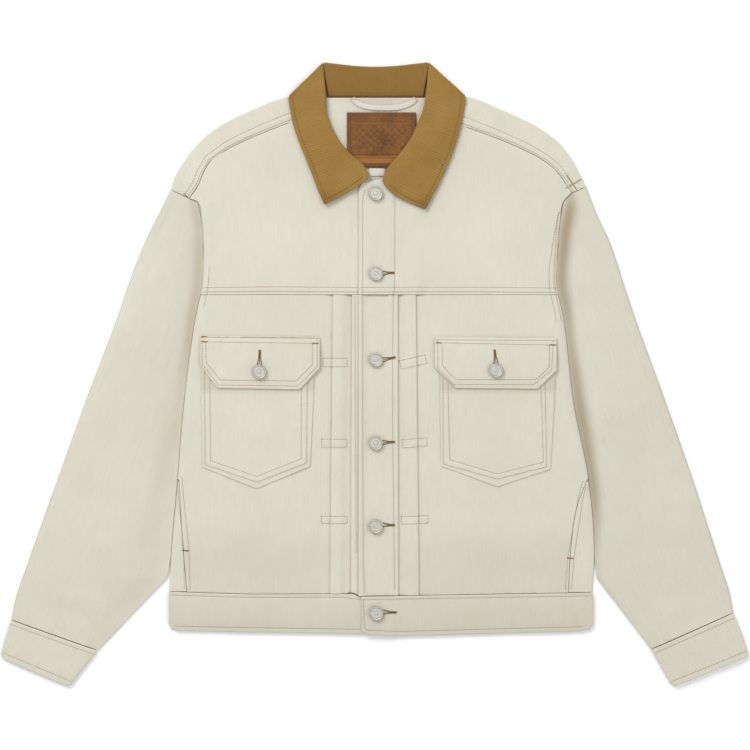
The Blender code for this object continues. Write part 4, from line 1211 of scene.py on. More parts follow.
sleeveCreases = {
    "right": [
        ((-232, 212), (-252, 178), (-270, 148), 1.0, 8.0),
        ((-224, 178), (-238, 150), (-262, 96), -0.7, 16.0),
        ((-282, 128), (-262, 60), (-250, 10), 0.7, 13.0),
        ((-330, -10), (-290, -30), (-250, -34), 0.6, 12.0),
        ((-256, -70), (-290, -98), (-346, -88), 0.7, 14.0),
        ((-370, -150), (-320, -150), (-262, -182), 0.6, 15.0),
        ((-252, -205), (-300, -214), (-380, -206), -0.6, 16.0),
        ((-300, -262), (-350, -250), (-408, -262), 0.9, 11.0),
        ((-330, -304), (-368, -276), (-424, -276), 0.8, 9.0)],
    "left": [
        ((244, 208), (260, 178), (276, 140), 0.7, 8.0),
        ((236, 170), (250, 128), (274, 84), -0.6, 15.0),
        ((246, 60), (262, 20), (296, -20), 0.7, 13.0),
        ((262, -20), (300, -34), (340, -24), 0.6, 12.0),
        ((264, -104), (310, -92), (362, -112), 0.7, 14.0),
        ((274, -186), (330, -160), (384, -172), 0.6, 15.0),
        ((282, -236), (330, -222), (400, -224), -0.6, 15.0),
        ((306, -276), (350, -262), (410, -270), 0.9, 11.0),
        ((336, -318), (372, -290), (420, -282), 0.8, 9.0)],
}


# Head of the sleeve, which follows the ends of shoulder and yoke, and of the layer under it
sleeveHead = {
    "right": [(-243.8, 219.3), (-222.2, 208.9), (-211.6, 204.0)],
    "left": [(254.6, 222.9), (237.9, 215.5), (227.4, 204.8)],
}
underHead = {
    "right": [(-243.6, 218.2), (-222.6, 209.7), (-210.6, 204.2)],
    "left": [(254.2, 221.4), (237.6, 211.9), (226.4, 204.6)],
}


def headShift(head, outer, inner, share, down):
    # from a straight first row to the bent one, fading out over the rows below
    bent = cornered(head)(share)
    return (bent - between(outer[0], inner[0], share[..., None])) * (1.0 - ease(down / 0.06))[..., None]


def sleevePlan(side, downs):
    # outer and inner edge at these shares of the sleeve's length; the inner one keeps beside the body
    table = sleeveEdges[side]
    knots = shares((table[:, :2] + table[:, 2:]) / 2)
    outer = spline(knots, table[:, :2], downs)
    inner = cornered(table[:, 2:], knots)(downs)
    gap = -arms["bodyGap"] if side == "right" else arms["bodyGap"]
    inner[:, 0] = np.where(inner[:, 1] > -224.4, edgeX(side, inner[:, 1]) + gap, inner[:, 0])
    return outer, inner


def sleeveHeight(side, x, y, reach, width, down):
    # middle of the top sleeve's wall, reach being the distance from the outer edge
    full = between(0.5, 1.0, ease(np.minimum(down, 1.0 - down) / 0.25))
    t = reach / width
    rise = np.minimum(arms["rise"], 0.42 * width)
    roll = np.minimum(arms["roll"], 0.42 * width)
    shape = bulge(reach, roll) * ease((width - reach) / rise)
    gap = body["edgeGap"] + 0.7 * (1.0 - t) + arms["crown"] * full * shape
    soft = waves(x, y, 61, 84.0, 0.75) + waves(x, y, 62, 33.0, 0.15)
    for start, bend, end, depth, wide in sleeveCreases[side]:
        soft = soft + crease(x, y, (start, bend, end), depth, wide)
    soft = soft * ease(np.minimum(reach, width - reach) / 14.0)
    return jacket["cloth"] * 1.5 + gap + soft


def makeSleeve(side):
    downs = stations(arms["length"], 3.6)
    outer, inner = sleevePlan(side, downs)
    width, away = spanOf(outer, inner)
    half = jacket["cloth"] / 2
    start = arms["radius"] + half
    wrap = np.minimum(arms["wrap"], width * 0.45)
    columns = [(wrap * share, half) for share in (1.0, 0.97, 0.88, 0.7, 0.5, 0.3)]
    columns += [(start - out, half + up) for out, up in fold(arms["radius"])]
    tops = stations(100.0, 3.4)[1:]
    reach = np.stack([np.broadcast_to(r, width.shape) for r, _ in columns]
                     + [between(start, width, t) for t in tops], axis=1)
    x, y = reached(outer, away, reach)
    z = np.stack([np.broadcast_to(level, width.shape) for _, level in columns]
                 + [np.zeros(len(width))] * len(tops), axis=1)
    first = len(columns)
    down = np.broadcast_to(downs[:, None], x.shape)
    wide = np.broadcast_to(width[:, None], x.shape)
    shift = headShift(sleeveHead[side], outer, inner, reach / wide, down)
    x, y = x + shift[..., 0], y + shift[..., 1]
    part = (slice(None), slice(first, None))
    z[part] = sleeveHeight(side, x[part], y[part], reach[part], wide[part], down[part])
    distance, run = nearest(x[part], y[part], cuffEdges[side][0].reshape(2, 2))
    z[part] += 0.7 * ripple(run, 67, 15.0) * np.exp(-(distance / 13.0) ** 2) * ease(reach[part] / 12.0)
    shade = armShade(side, x, y, wide - reach)
    rows = np.dstack([x, y, z])
    if side == "right":
        rows, shade = rows[::-1], shade[::-1]
    top = wall("topsleeve" + side.title(), rows, jacket["cloth"], ecruDenim, rim=0.8, tone=shade)
    downs = stations(arms["length"], 9.0)
    outer, inner = sleevePlan(side, downs)
    width, away = spanOf(outer, inner)
    wrap = np.minimum(arms["wrap"], width * 0.45) + jacket["seamGap"]
    tucked = width + arms["tuck"] * ease((inner[:, 1] + 120.0) / 10.0)
    reach = between(wrap[:, None], tucked[:, None], stations(100.0, 7.0)[None])
    x, y = reached(outer, away, reach)
    share = np.minimum(reach / width[:, None], 1.0)
    shift = headShift(underHead[side], outer, inner, share, np.broadcast_to(downs[:, None], x.shape))
    x, y = x + shift[..., 0], y + shift[..., 1]
    edge = np.minimum(reach - wrap[:, None], width[:, None] - reach)
    z = half + np.maximum(0.0, waves(x, y, 71, 90.0, 0.35)) * ease(edge / 25.0)
    rows = np.dstack([x, y, z])
    under = wall("undersleeve" + side.title(), rows[::-1] if side == "right" else rows, jacket["cloth"],
                 ecruDenim, rim=1.0)
    return keep(top, "denim", "topsleeve_" + side), keep(under, "denim", "undersleeve_" + side)


# Painted shade in the dip between sleeve and body: y, how far from the body it is darkest, its half width, how
# dark
armDip = {
    "right": np.array([(-300.0, 60.0, 30.0, 0.0), (-200.0, 32.0, 24.0, 0.10), (-104.0, 14.0, 18.0, 0.20),
                       (-56.0, 4.0, 16.0, 0.26), (-8.0, 2.0, 13.0, 0.34), (40.0, 3.0, 8.0, 0.52),
                       (88.0, 5.0, 9.0, 0.50), (160.0, 5.0, 9.0, 0.42), (200.0, 5.0, 8.0, 0.32),
                       (218.0, 5.0, 8.0, 0.0)]),
    "left": np.array([(-300.0, 2.0, 6.0, 0.12), (-220.0, 1.0, 6.0, 0.34), (-152.0, 3.5, 8.0, 0.80),
                      (-104.0, 4.0, 9.0, 0.84), (-56.0, 6.0, 10.0, 0.84), (-8.0, 6.0, 9.0, 0.80),
                      (40.0, 4.0, 8.0, 0.68), (88.0, 6.0, 8.5, 0.80), (160.0, 8.0, 9.0, 0.88),
                      (200.0, 11.5, 10.5, 0.80), (222.0, 12.0, 9.0, 0.30)]),
}


def armShade(side, x, y, fromBody):
    table = armDip[side]
    place, wide, dark = spline(table[:, 0], table[:, 1:], y).transpose(2, 0, 1)
    # painted shade: deepest in the dip beside the body, and a little over the whole sleeve
    return np.maximum(0.06, np.maximum(dark, 0.0) * np.exp(-((fromBody - place) / wide) ** 2))


def cuffRing(side, downs):
    # outer and inner edge of a cuff at these shares of its depth
    table = cuffEdges[side]
    knots = shares((table[:, :2] + table[:, 2:]) / 2)
    return cornered(table[:, :2], knots)(downs), cornered(table[:, 2:], knots)(downs)


def makeCuff(side):
    downs = stations(46.0, 2.0, 1.6)
    outer, inner = cuffRing(side, downs)
    width, away = spanOf(outer, inner)
    radius, base = arms["cuffRadius"], arms["cuffBase"]
    start = radius + jacket["double"] / 2
    flat = np.linspace(0.0, 1.0, 42)[1:-1]
    crown = arms["cuffCrown"] * between(1.0, 0.75, downs)
    # once round the cuff: how far each point is from the outer edge, and how high
    ring = [(start - out, base + up) for out, up in fold(radius)]
    ring += [(between(start, width - start, t), base + 2 * radius + crown * math.sin(math.pi * t) ** 0.8)
             for t in flat]
    ring += [(width - start + out, base + up) for out, up in fold(radius)[::-1]]
    ring += [(between(start, width - start, t), base) for t in flat[::-3]]
    reach, level = [np.stack([value + 0.0 * width for value in values], axis=1) for values in zip(*ring)]
    x, y = reached(outer, away, reach)
    upper = (level > base + 1.9 * radius) * ease(np.minimum(reach, width[:, None] - reach) / 9.0)
    relief = waves(x, y, 81, 46.0, 0.4)
    for k, row in enumerate(cuffRows(side)):
        relief = relief + seam(x, y, [row], 0.0, 1.0, 83 + k)
    level = level + relief * upper
    rows = np.dstack([x, y, level])
    if side == "right":
        rows = rows[::-1]
    # the cuff gets the same slight painted shade as the sleeve
    made = wall("cuff" + side.title(), rows, jacket["double"], ecruDenim, closed=True, rim=1.5,
                tone=0.06 * np.ones(rows.shape[:2]))
    return keep(made, "denim", "cuff_" + side)


def cuffRows(side):
    # stitches beside the seam and beside the end
    rows = []
    for share in (0.10, 0.86):
        outer, inner = cuffRing(side, np.array([share]))
        ends = np.array([between(outer[0], inner[0], t) for t in (0.03, 0.5, 0.97)])
        rows.append(ends)
    return rows


# Collar. roll runs from the front end up to the top, outer from the point up
collarEdges = {
    "right": {
        "roll": [(-4.8, 235.6), (-12.0, 248.4), (-28.8, 262.8), (-44.4, 283.2), (-52.5, 300.0),
                 (-56.4, 315.0), (-57.0, 330.0), (-59.0, 350.0), (-60.7, 372.2)],
        "outer": [(-59.4, 201.0), (-66.0, 216.0), (-75.6, 241.2), (-88.8, 273.6), (-95.0, 291.0),
                  (-98.6, 305.0), (-101.0, 319.0), (-102.4, 327.0), (-101.5, 332.0)]},
    "left": {
        "roll": [(9.6, 229.6), (12.6, 240.0), (27.6, 259.2), (44.4, 282.0), (52.0, 299.0),
                 (58.4, 315.0), (61.4, 330.0), (63.6, 350.0), (65.5, 372.2)],
        "outer": [(61.8, 195.6), (69.5, 211.0), (79.2, 229.2), (93.6, 261.6), (101.0, 284.0),
                  (105.4, 301.0), (108.4, 317.0), (109.6, 326.0), (108.7, 332.6)]},
}
# Across the back: stand at the neck seam x, roll (x, y), fall (x, y) half way and at its end
collarBackPlan = np.array([
    (-54.6, -59.6, 372.4, -101.2, 331.0, -97.0, 304.0), (-40.0, -44.0, 370.6, -72.0, 326.0, -71.0, 303.0),
    (-20.0, -22.0, 368.2, -36.0, 324.0, -36.0, 302.0), (2.0, 2.0, 367.2, 3.0, 323.0, 3.0, 302.0),
    (24.0, 26.0, 368.2, 42.0, 324.0, 42.0, 302.0), (44.0, 48.0, 370.6, 79.0, 326.0, 78.0, 303.0),
    (59.2, 64.4, 372.4, 108.4, 331.8, 104.0, 304.0)])
collar = {
    "length": 168.0,        # of a side, along its roll
    "pitch": 2.75,          # of the corduroy's wales
    "waleHeight": 0.35,
    "steps": 5,             # points to a wale
    "tip": 2.0,             # radius of the points' rounding
    "rollRadius": 1.9,
    "backRadius": 2.1,
    "backLift": 2.7,
    "bow": {"right": 3.2, "left": 6.4},
}


def collarBase(side, x, y):
    under = frontTop(side, x, y)
    if side == "right":
        under = under + jacket["lap"] * ease((x + 34.0) / 14.0) * (1.0 - ease((y - 236.0) / 20.0))
    return between(under, jacket["cord"], ease((y - 338.0) / 16.0))


def wales(run, seed):
    # height of the wales, 0 between them and 1 on top, with a slight sway
    sway = 0.10 * ripple(run, seed, 31.0)
    return np.sqrt(np.abs(np.sin(math.pi * (run / collar["pitch"] + sway))))


def collarPlan(side):
    shape = collarEdges[side]
    roll, outer = np.array(shape["roll"]), np.array(shape["outer"])
    count = int(180.0 / collar["pitch"]) * collar["steps"]
    ups = stations(180.0, 180.0 / count, 1.0)
    alongRoll = spline(shares(roll), roll, ups)
    alongOuter = spline(shares(roll), outer, ups)
    return ups, alongRoll, alongOuter


def makeCollarSide(side):
    ups, roll, outer = collarPlan(side)
    width, away = spanOf(roll, outer)
    run = ups * collar["length"]
    # the front end is cut with a bow, which fades out up the collar
    bow = collar["bow"][side] * np.exp(-run / 15.0)
    corner = np.clip(1.0 - run / collar["tip"], 0.0, 1.0)
    width = width - collar["tip"] * (1.0 - np.sqrt(1.0 - corner ** 2))
    radius, half = collar["rollRadius"], jacket["cord"] / 2
    start = radius + half
    stand = between(7.0, 27.0, ease(ups / 0.6))
    beyond = start + stand

    def levelAt(r):
        x, y = roll[:, 0] + away[:, 0] * r, roll[:, 1] + away[:, 1] * r
        return collarBase(side, x, y) + jacket["rest"] + half

    reach = [start + stand * share for share in (1.0, 0.97, 0.88, 0.7, 0.5, 0.25)]
    level = [levelAt(r) for r in reach]
    low = levelAt(start)
    for out, up in fold(radius):
        reach.append(start - out + 0.0 * width)
        level.append(low + up)
    for share in stations(40.0, 1.8)[1:]:
        r = between(start, width, share)
        raised = 1.0 - ease((r - beyond + 4.0) / (width - beyond + 4.0))
        level.append(levelAt(r) + 2 * radius * raised)
        reach.append(r)
    reach, level = np.stack(reach, axis=1), np.stack(level, axis=1)
    x, y = reached(roll, away, reach)
    share = np.clip(reach / width[:, None], 0.0, 1.0)
    fall = np.arange(reach.shape[1]) > 14
    y = y - bow[:, None] * np.where(fall, np.sin(math.pi * share ** 0.62), ease(share * 4.0))
    edge = width[:, None] - reach
    soft = waves(x, y, 91, 60.0, 0.7) * ease(edge / 12.0)
    # the outer edge stands off the cloth, most of all at the point
    standOff = between(1.4, 3.4, np.exp(-ups / 0.25))[:, None] * ease((share - 0.35) / 0.65)
    level = level + np.where(fall, soft + standOff, 0.0)
    marks = wales(run[:, None] + 0.012 * (reach - 20.0), 93)
    near, _ = nearest(x, y, collarRow(side))
    groove = np.exp(-(near / 1.3) ** 2)
    raised = collar["waleHeight"] * (marks - 1.0) * (1.0 - 0.4 * groove) - 0.15 * groove
    tip = np.exp(-(np.hypot(x - outer[0][0], y - outer[0][1]) / 15.0) ** 2)
    # painted shade in the stitched groove; darker towards the point, and a little all over
    tone = 0.12 * groove + 0.42 * tip + 0.11
    rows = np.dstack([x, y, level])
    if side == "right":
        rows, marks, raised, tone = rows[::-1], marks[::-1], raised[::-1], tone[::-1]
    made = wall("collar" + side.title(), rows, jacket["cord"], camelCorduroy, rim=1.4, tone=tone,
                marks=marks, raised=raised)
    return keep(made, "corduroy", "collar_" + side)


def collarRow(side):
    # edge stitches round the point and up the outer edge
    shape = collarEdges[side]
    first, last = np.array(shape["roll"][0]), np.array(shape["outer"][0])
    bow = collar["bow"][side]
    front = [between(first, last, t) - (0.0, bow * math.sin(math.pi * t ** 0.62))
             for t in (0.12, 0.25, 0.4, 0.6, 0.8)]
    line = np.array(front + shape["outer"])
    middle = line.mean(axis=0)
    inset = -5.0 if side == "left" else 5.0
    moved = beside(line, -inset)
    return moved if np.linalg.norm(moved - middle) < np.linalg.norm(line - middle) else beside(line, inset)


def makeCollarBack():
    radius, half = collar["backRadius"], jacket["cord"] / 2
    plan = collarBackPlan
    count = int(118.0 / collar["pitch"]) * collar["steps"]
    line = spline(shares(plan[:, 1:3]), plan, stations(126.0, 126.0 / count, 1.0))
    low, high = half, half + 2 * radius
    start = radius + half
    rows = []
    for standX, rollX, rollY, midX, midY, endX, endY in line:
        row = [(between(endX, midX, t), between(endY, midY, t), low) for t in (0.0, 0.05, 0.15, 0.4, 0.7, 1.0)]
        downFall = np.array([midX - rollX, midY - rollY])
        downStand = np.array([standX - rollX, jacket["neckSeam"] - rollY])
        away = downFall / np.linalg.norm(downFall) + downStand / np.linalg.norm(downStand)
        away /= np.linalg.norm(away)
        centre = (rollX + away[0] * start, rollY + away[1] * start)
        row += [(between(midX, centre[0], t), between(midY, centre[1], t), low) for t in (0.35, 0.7)]
        row += [(centre[0] - away[0] * out, centre[1] - away[1] * out, low + up)
                for out, up in fold(radius, 12)]
        for t in stations(36.0, 1.8)[1:]:
            x, y = between(centre[0], standX, t), between(centre[1], jacket["neckSeam"] + 0.6, t)
            row.append((x, y, between(high, collar["backLift"] + half, t)))
        rows.append(row)
    rows = np.array(rows)
    x, y = rows[..., 0], rows[..., 1]
    rolled = np.arange(rows.shape[1]) > 8
    rows[..., 2] += np.where(rolled, waves(x, y, 95, 50.0, 0.35) * ease((y - 331.0) / 8.0), 0.0)
    marks = wales(np.broadcast_to(rows[:, 21:22, 0], x.shape) + 0.04 * (y - 350.0), 97)
    raised = collar["waleHeight"] * (marks - 1.0)
    shade = 0.30 * (1.0 - ease((y - 331.0) / 7.0)) + 0.40
    made = wall("collarBack", rows, jacket["cord"], camelCorduroy, rim=1.4, tone=shade, marks=marks,
                raised=raised)
    return keep(made, "corduroy", "collar_back")


# Pockets and their flaps: top edge and lower edge, across from the wearer's right to the left
pocketEdges = {
    "right": {"top": [(-207.6, 33.6), (-69.6, 33.6)],
              "low": [(-205.2, -112.8), (-140.4, -138.6), (-76.2, -111.6)]},
    "left": {"top": [(78.0, 33.6), (219.6, 33.6)],
             "low": [(80.4, -111.6), (147.6, -136.2), (211.2, -115.2)]},
}
flapEdges = {
    "right": {"top": [(-207.6, 45.0), (-64.8, 43.2)],
              "low": [(-207.6, 9.6), (-187.2, -18.0), (-88.8, -19.8), (-64.8, 6.0)]},
    "left": {"top": [(72.8, 43.2), (218.4, 42.0)],
             "low": [(72.8, 6.0), (97.2, -18.0), (195.6, -19.2), (218.4, 3.0)]},
}


def panelTop(x, y):
    return frontUnder(x, y) + jacket["cloth"]


def patchPlan(top, low, cell):
    # rows from the lower edge up, its corners kept as columns of their own
    top, low = np.array(top, float), np.array(low, float)
    length = np.linalg.norm(low[-1] - low[0])
    us = stations(length, cell)
    for knot in shares(low)[1:-1]:
        us[np.argmin(np.abs(us - knot))] = knot
    xs = low[0][0] + (low[-1][0] - low[0][0]) * us
    below = np.stack([xs, np.interp(xs, low[:, 0], low[:, 1])], axis=1)
    above = between(top[0], top[-1], us[:, None])
    tall = np.abs(above[:, 1] - below[:, 1]).max()
    vs = stations(tall, cell)[:, None, None]
    return between(below[None], above[None], vs)


def makePocket(side):
    shape = pocketEdges[side]
    plan = patchPlan(shape["top"], shape["low"], jacket["grain"])
    x, y = plan[..., 0], plan[..., 1]
    z = panelTop(x, y) + jacket["rest"] + jacket["cloth"] / 2
    inner = ease((np.minimum(x - x[:, :1], x[:, -1:] - x)) / 18.0)
    z = z + 0.8 * inner * ease((y + 105.0) / 60.0) + waves(x, y, 101, 50.0, 0.35) * inner
    one, two = pocketRows(side)
    z = z + seam(x, y, [one, two], 1.0, 0.9, 103)
    # painted shadow under the flap, on the pocket's top
    made = wall("pocket" + side.title(), np.dstack([x, y, z]), jacket["cloth"], ecruDenim, rim=1.2,
                tone=0.24 * np.exp(-np.maximum(-20.0 - y, 0.0) / 3.0))
    return keep(made, "denim", "pocket_" + side)


def pocketRows(side):
    edges = {
        "right": [[(-203.0, 30.0), (-202.0, -109.5), (-140.4, -130.6), (-80.6, -107.5), (-79.5, 30.0)],
                  [(-196.6, 30.0), (-195.6, -104.8), (-140.4, -123.6), (-87.2, -102.8), (-86.6, 30.0)]],
        "left": [[(82.2, 30.0), (83.0, -109.0), (147.6, -126.8), (206.4, -112.2), (203.6, 30.0)],
                 [(87.4, 30.0), (90.6, -103.8), (147.6, -120.6), (202.6, -106.6), (198.2, 30.0)]],
    }
    return edges[side]


def flapTop(side, x, y):
    over = (jacket["cloth"] + jacket["rest"]) * (1.0 - ease((y - 35.0) / 8.0))
    return panelTop(x, y) + jacket["rest"] + over


def makeFlap(side):
    shape = flapEdges[side]
    plan = patchPlan(shape["top"], shape["low"], jacket["grain"])
    x, y = plan[..., 0], plan[..., 1]
    z = flapTop(side, x, y) + jacket["flap"] / 2
    inner = ease(np.minimum(np.minimum(x - x[:, :1], x[:, -1:] - x), y - y[:1]) / 16.0)
    z = z + 1.0 * ease((40.0 - y) / 26.0) + inner * (0.5 + waves(x, y, 111, 55.0, 0.35))
    for k, row in enumerate(flapRows(side)):
        z = z + seam(x, y, [row], 0.0, 1.0, 113 + k)
    made = wall("flap" + side.title(), np.dstack([x, y, z]), jacket["flap"], ecruDenim, rim=1.7)
    return keep(made, "denim", "flap_" + side)


def flapRows(side):
    edges = {
        "right": [[(-205.4, 42.0), (-205.4, 10.6), (-186.0, -14.2), (-91.0, -15.6), (-67.8, 7.4),
                   (-67.6, 41.0)],
                  [(-201.0, 36.0), (-200.8, 12.6), (-183.6, -8.2), (-93.8, -9.6), (-73.8, 9.6),
                   (-73.6, 34.0)],
                  [(-205.5, 43.0), (-67.0, 41.6)], [(-205.5, 37.2), (-67.0, 35.4)]],
        "left": [[(76.2, 38.6), (76.2, 5.4), (94.8, -13.8), (190.8, -13.8), (212.4, 3.6), (214.2, 37.8)],
                 [(81.6, 33.2), (81.6, 9.0), (97.8, -7.8), (193.8, -7.8), (209.6, 7.2), (209.6, 33.4)],
                 [(75.0, 39.8), (216.0, 38.6)], [(75.0, 36.2), (216.0, 33.4)]],
    }
    return edges[side]


# Inside the neck
neckPieces = {
    "patch": (-32.4, 50.4, 246.0, 312.0),      # left, right, low, high
    "label": (-6.0, 13.0, 236.0, 245.4),
    "leather": 2.0,
    "tape": 1.0,
    "above": 0.45,
    "loopWidth": 6.0,
    "loop": np.array([(-26.0, 329.4), (-22.5, 325.0), (-16.0, 321.2), (-6.0, 318.6), (12.0, 317.6),
                      (30.0, 318.6), (40.0, 321.6), (47.0, 325.6), (50.0, 329.4)]),
    "border": 4.6,
    "lattice": 8.5,
    "rules": (257.5, 261.6, 301.0, 304.4),
    "ruled": 31.0,                             # half as wide as rules and lattice
}


def onNeck(x, y, thickness):
    return lift(x, y) + jacket["cloth"] + jacket["rest"] + neckPieces["above"] + thickness / 2


def makePatch():
    left, right, low, high = neckPieces["patch"]
    xs = between(left, right, stations(right - left, 0.75, 1.0))
    ys = between(low, high, stations(high - low, 0.75, 1.0))
    x, y = np.meshgrid(xs, ys)
    thickness = neckPieces["leather"]
    middle = ((left + right) / 2, (low + high) / 2)
    fromEdge = np.minimum(np.minimum(x - left, right - x), np.minimum(y - low, high - y))
    z = onNeck(x, y, thickness) + waves(x, y, 121, 60.0, 0.3)
    z = z + 0.5 * np.exp(-fromEdge / 6.0)
    border = np.exp(-((fromEdge - neckPieces["border"]) / 0.6) ** 4)
    # a plain lattice between two pairs of rules, pressed into the leather
    step = neckPieces["lattice"]
    wide = np.abs(x - middle[0]) < neckPieces["ruled"]
    inside = wide & (np.abs(y - middle[1] - 3.0) < 14.0)
    slants = [np.abs(np.mod(x - middle[0] + way * (y - middle[1] - 3.0), step) - step / 2) for way in (1, -1)]
    lattice = inside * np.exp(-(np.minimum(slants[0], slants[1]) / 0.55) ** 4)
    rules = sum(np.exp(-((y - place) / 0.45) ** 4) for place in neckPieces["rules"])
    marks = np.clip(border + lattice + wide * rules, 0.0, 1.0)
    strip = np.exp(-((y - 255.2) / 4.6) ** 6) * (fromEdge > 5.4)
    tone = 0.75 * strip
    foot = 0.5 * np.exp(-((y - 248.0) / 1.7) ** 2) + 0.45 * (1.0 - ease((fromEdge - 2.2) / 2.0))
    made = wall("leatherPatch", np.dstack([x, y, z]), thickness, patchLeather, rim=1.0, tone=tone,
                marks=np.clip(0.75 * marks + foot, 0.0, 1.0), raised=-0.35 * marks)
    return keep(made, "leather", "patch")


def makeLabel():
    left, right, low, high = neckPieces["label"]
    xs = between(left, right, stations(right - left, 1.0, 0.5))
    ys = between(low, high, stations(high - low, 1.0, 0.5))
    x, y = np.meshgrid(xs, ys)
    z = onNeck(x, y, neckPieces["tape"]) + 0.35 * np.sin((x - left) / 4.2)
    made = wall("careLabel", np.dstack([x, y, z]), neckPieces["tape"], whiteTape, rim=0.5,
                tone=0.35 * ease((240.0 - y) / 4.0))
    return keep(made, "tape", "care_label")


def makeLoop():
    along = np.linspace(0, 1, 90)
    path = curved(neckPieces["loop"])(along)
    ways = unit(np.gradient(path, axis=0))
    sides = np.stack([-ways[:, 1], ways[:, 0]], axis=1)
    rise = 1.9 * np.sin(math.pi * along) ** 1.5
    rows = []
    for share in stations(neckPieces["loopWidth"], 0.8, 0.4) - 0.5:
        line = path + sides * share * neckPieces["loopWidth"]
        level = onNeck(line[:, 0], line[:, 1], neckPieces["tape"]) + rise * (1.0 + 0.5 * share)
        rows.append(np.column_stack([line, level]))
    ends = np.abs(2.0 * along - 1.0)
    # painted shade towards both ends, where the loop goes in under the collar; a little darker all along
    made = wall("hangerLoop", np.array(rows), neckPieces["tape"], whiteTape, rim=0.45,
                tone=0.12 + 0.40 * ease((ends - 0.72) / 0.28)[None])
    return keep(made, "tape", "hanger_loop")


# Shank buttons: radius, height above the cloth, how dark it is there: patina in the rings' hollows, painted
# shade down the side and underneath
buttonTurn = np.array([
    (0.0, 4.24, 0.05), (0.9, 4.23, 0.05), (1.7, 4.18, 0.1), (2.3, 4.08, 0.15), (2.7, 3.98, 0.3),
    (3.05, 3.96, 0.3), (3.35, 4.02, 0.15), (3.9, 4.12, 0.0), (4.7, 4.18, 0.0), (5.5, 4.14, 0.05),
    (6.0, 4.02, 0.3), (6.3, 3.98, 0.45), (6.6, 4.05, 0.3), (6.9, 4.35, 0.1), (7.3, 4.62, 0.05),
    (7.7, 4.66, 0.1), (8.05, 4.52, 0.35), (8.3, 4.2, 0.6), (8.4, 3.8, 0.8), (8.3, 3.35, 0.8),
    (7.8, 3.05, 0.8), (5.4, 2.75, 0.9), (3.6, 2.5, 0.9), (3.3, 1.4, 0.9), (3.7, 0.1, 0.9), (0.0, 0.05, 0.9)])
buttonPlaces = {
    "button_front_1": (2.2, 214.8), "button_front_2": (2.2, 118.8), "button_front_3": (2.2, 15.6),
    "button_front_4": (2.2, -84.0), "button_front_5": (2.2, -183.6), "button_front_6": (2.8, -287.3),
    "button_flap_right": (-136.8, 1.2), "button_flap_left": (145.7, 3.0),
}


def makeButton(node, x, y, carriers):
    steps = 40
    trees = surfaceOf(*carriers)
    feet = [levelOf(trees, x + dx, y + dy) for dx in (-3.0, 0.0, 3.0) for dy in (-3.0, 0.0, 3.0)]
    level = max(foot for foot in feet if foot is not None)
    ring = buttonTurn[1:-1]
    places = [(x, y, level + buttonTurn[0][1])]
    dark = [buttonTurn[0][2]]
    for radius, height, shade in ring:
        for k in range(steps):
            angle = 2 * math.pi * k / steps
            places.append((x + radius * math.cos(angle), y + radius * math.sin(angle), level + height))
            dark.append(shade)
    places.append((x, y, level + buttonTurn[-1][1]))
    dark.append(buttonTurn[-1][2])
    last = len(places) - 1
    faces = []
    for k in range(steps):
        after = (k + 1) % steps
        faces.append((0, 1 + k, 1 + after))
        for j in range(len(ring) - 1):
            a, b = 1 + j * steps, 1 + (j + 1) * steps
            faces.append((a + k, b + k, b + after, a + after))
        foot = 1 + (len(ring) - 1) * steps
        faces.append((foot + k, last, foot + after))
    name = "button" + node[7:].title().replace("_", "")
    mesh = bpy.data.meshes.new(name)
    mesh.from_pydata(toMetres(places).tolist(), [], faces)
    mesh.shade_smooth()
    layer = mesh.attributes.new("marks", "FLOAT", "POINT")
    layer.data.foreach_set("value", np.array(dark, np.float32))
    made = bpy.data.objects.new(name, mesh)
    made.data.materials.append(agedPewter)
    bpy.context.collection.objects.link(made)
    return keep(made, "metal", node)


# Keyhole buttonholes: open end beside the button, closed end
buttonHoles = [
    ((10.6, 119.4), (24.6, 119.9)), ((10.8, 15.8), (25.6, 18.8)), ((10.8, -83.2), (24.8, -82.6)),
    ((10.8, -181.8), (24.8, -182.2)), ((11.4, -286.0), (27.0, -286.6)),
    ((-136.8, 9.8), (-136.4, 27.4)), ((145.7, 11.6), (144.0, 27.8)),
]
holeShape = {"wide": 2.5, "narrow": 0.95, "end": 0.75, "waist": 0.5}


def holeLegs(start, end):
    start, end = np.array(start), np.array(end)
    way = end - start
    side = np.array([-way[1], way[0]]) / np.linalg.norm(way)
    legs = []
    for sign in (1, -1):
        legs.append([start + sign * side * holeShape["wide"],
                     start + way * 0.25 + sign * side * 0.5 * (holeShape["wide"] + holeShape["narrow"]),
                     start + way * holeShape["waist"] + sign * side * holeShape["narrow"],
                     end + sign * side * holeShape["end"]])
    return legs


# Bar tacks: start, end
barTacks = {
    "flapRight": [((-206.2, 37.6), (-199.4, 37.4)), ((-73.6, 35.6), (-66.8, 35.4)),
                  ((-206.2, 43.6), (-200.6, 43.4))],
    "flapLeft": [((72.6, 36.4), (80.2, 36.0)), ((210.4, 33.8), (217.6, 33.4))],
    "sides": [((-229.4, -212.6), (-222.2, -213.0)), ((231.8, -221.6), (238.8, -222.0))],
    "shoulders": [((-228.0, 215.0), (-220.4, 208.0)), ((231.0, 236.6), (242.0, 221.0)),
                  ((250.0, 233.0), (230.0, 221.6))],
}
tackStitch = {"Spacing": 0.7, "Length": 1.9, "Width": 0.85, "Height": 0.8, "Turn": 80.0, "Waver": 0.2}
slitStitch = {"Spacing": 0.8, "Length": 1.5, "Width": 0.7, "Height": 0.3, "Turn": 0.0, "Waver": 0.1}


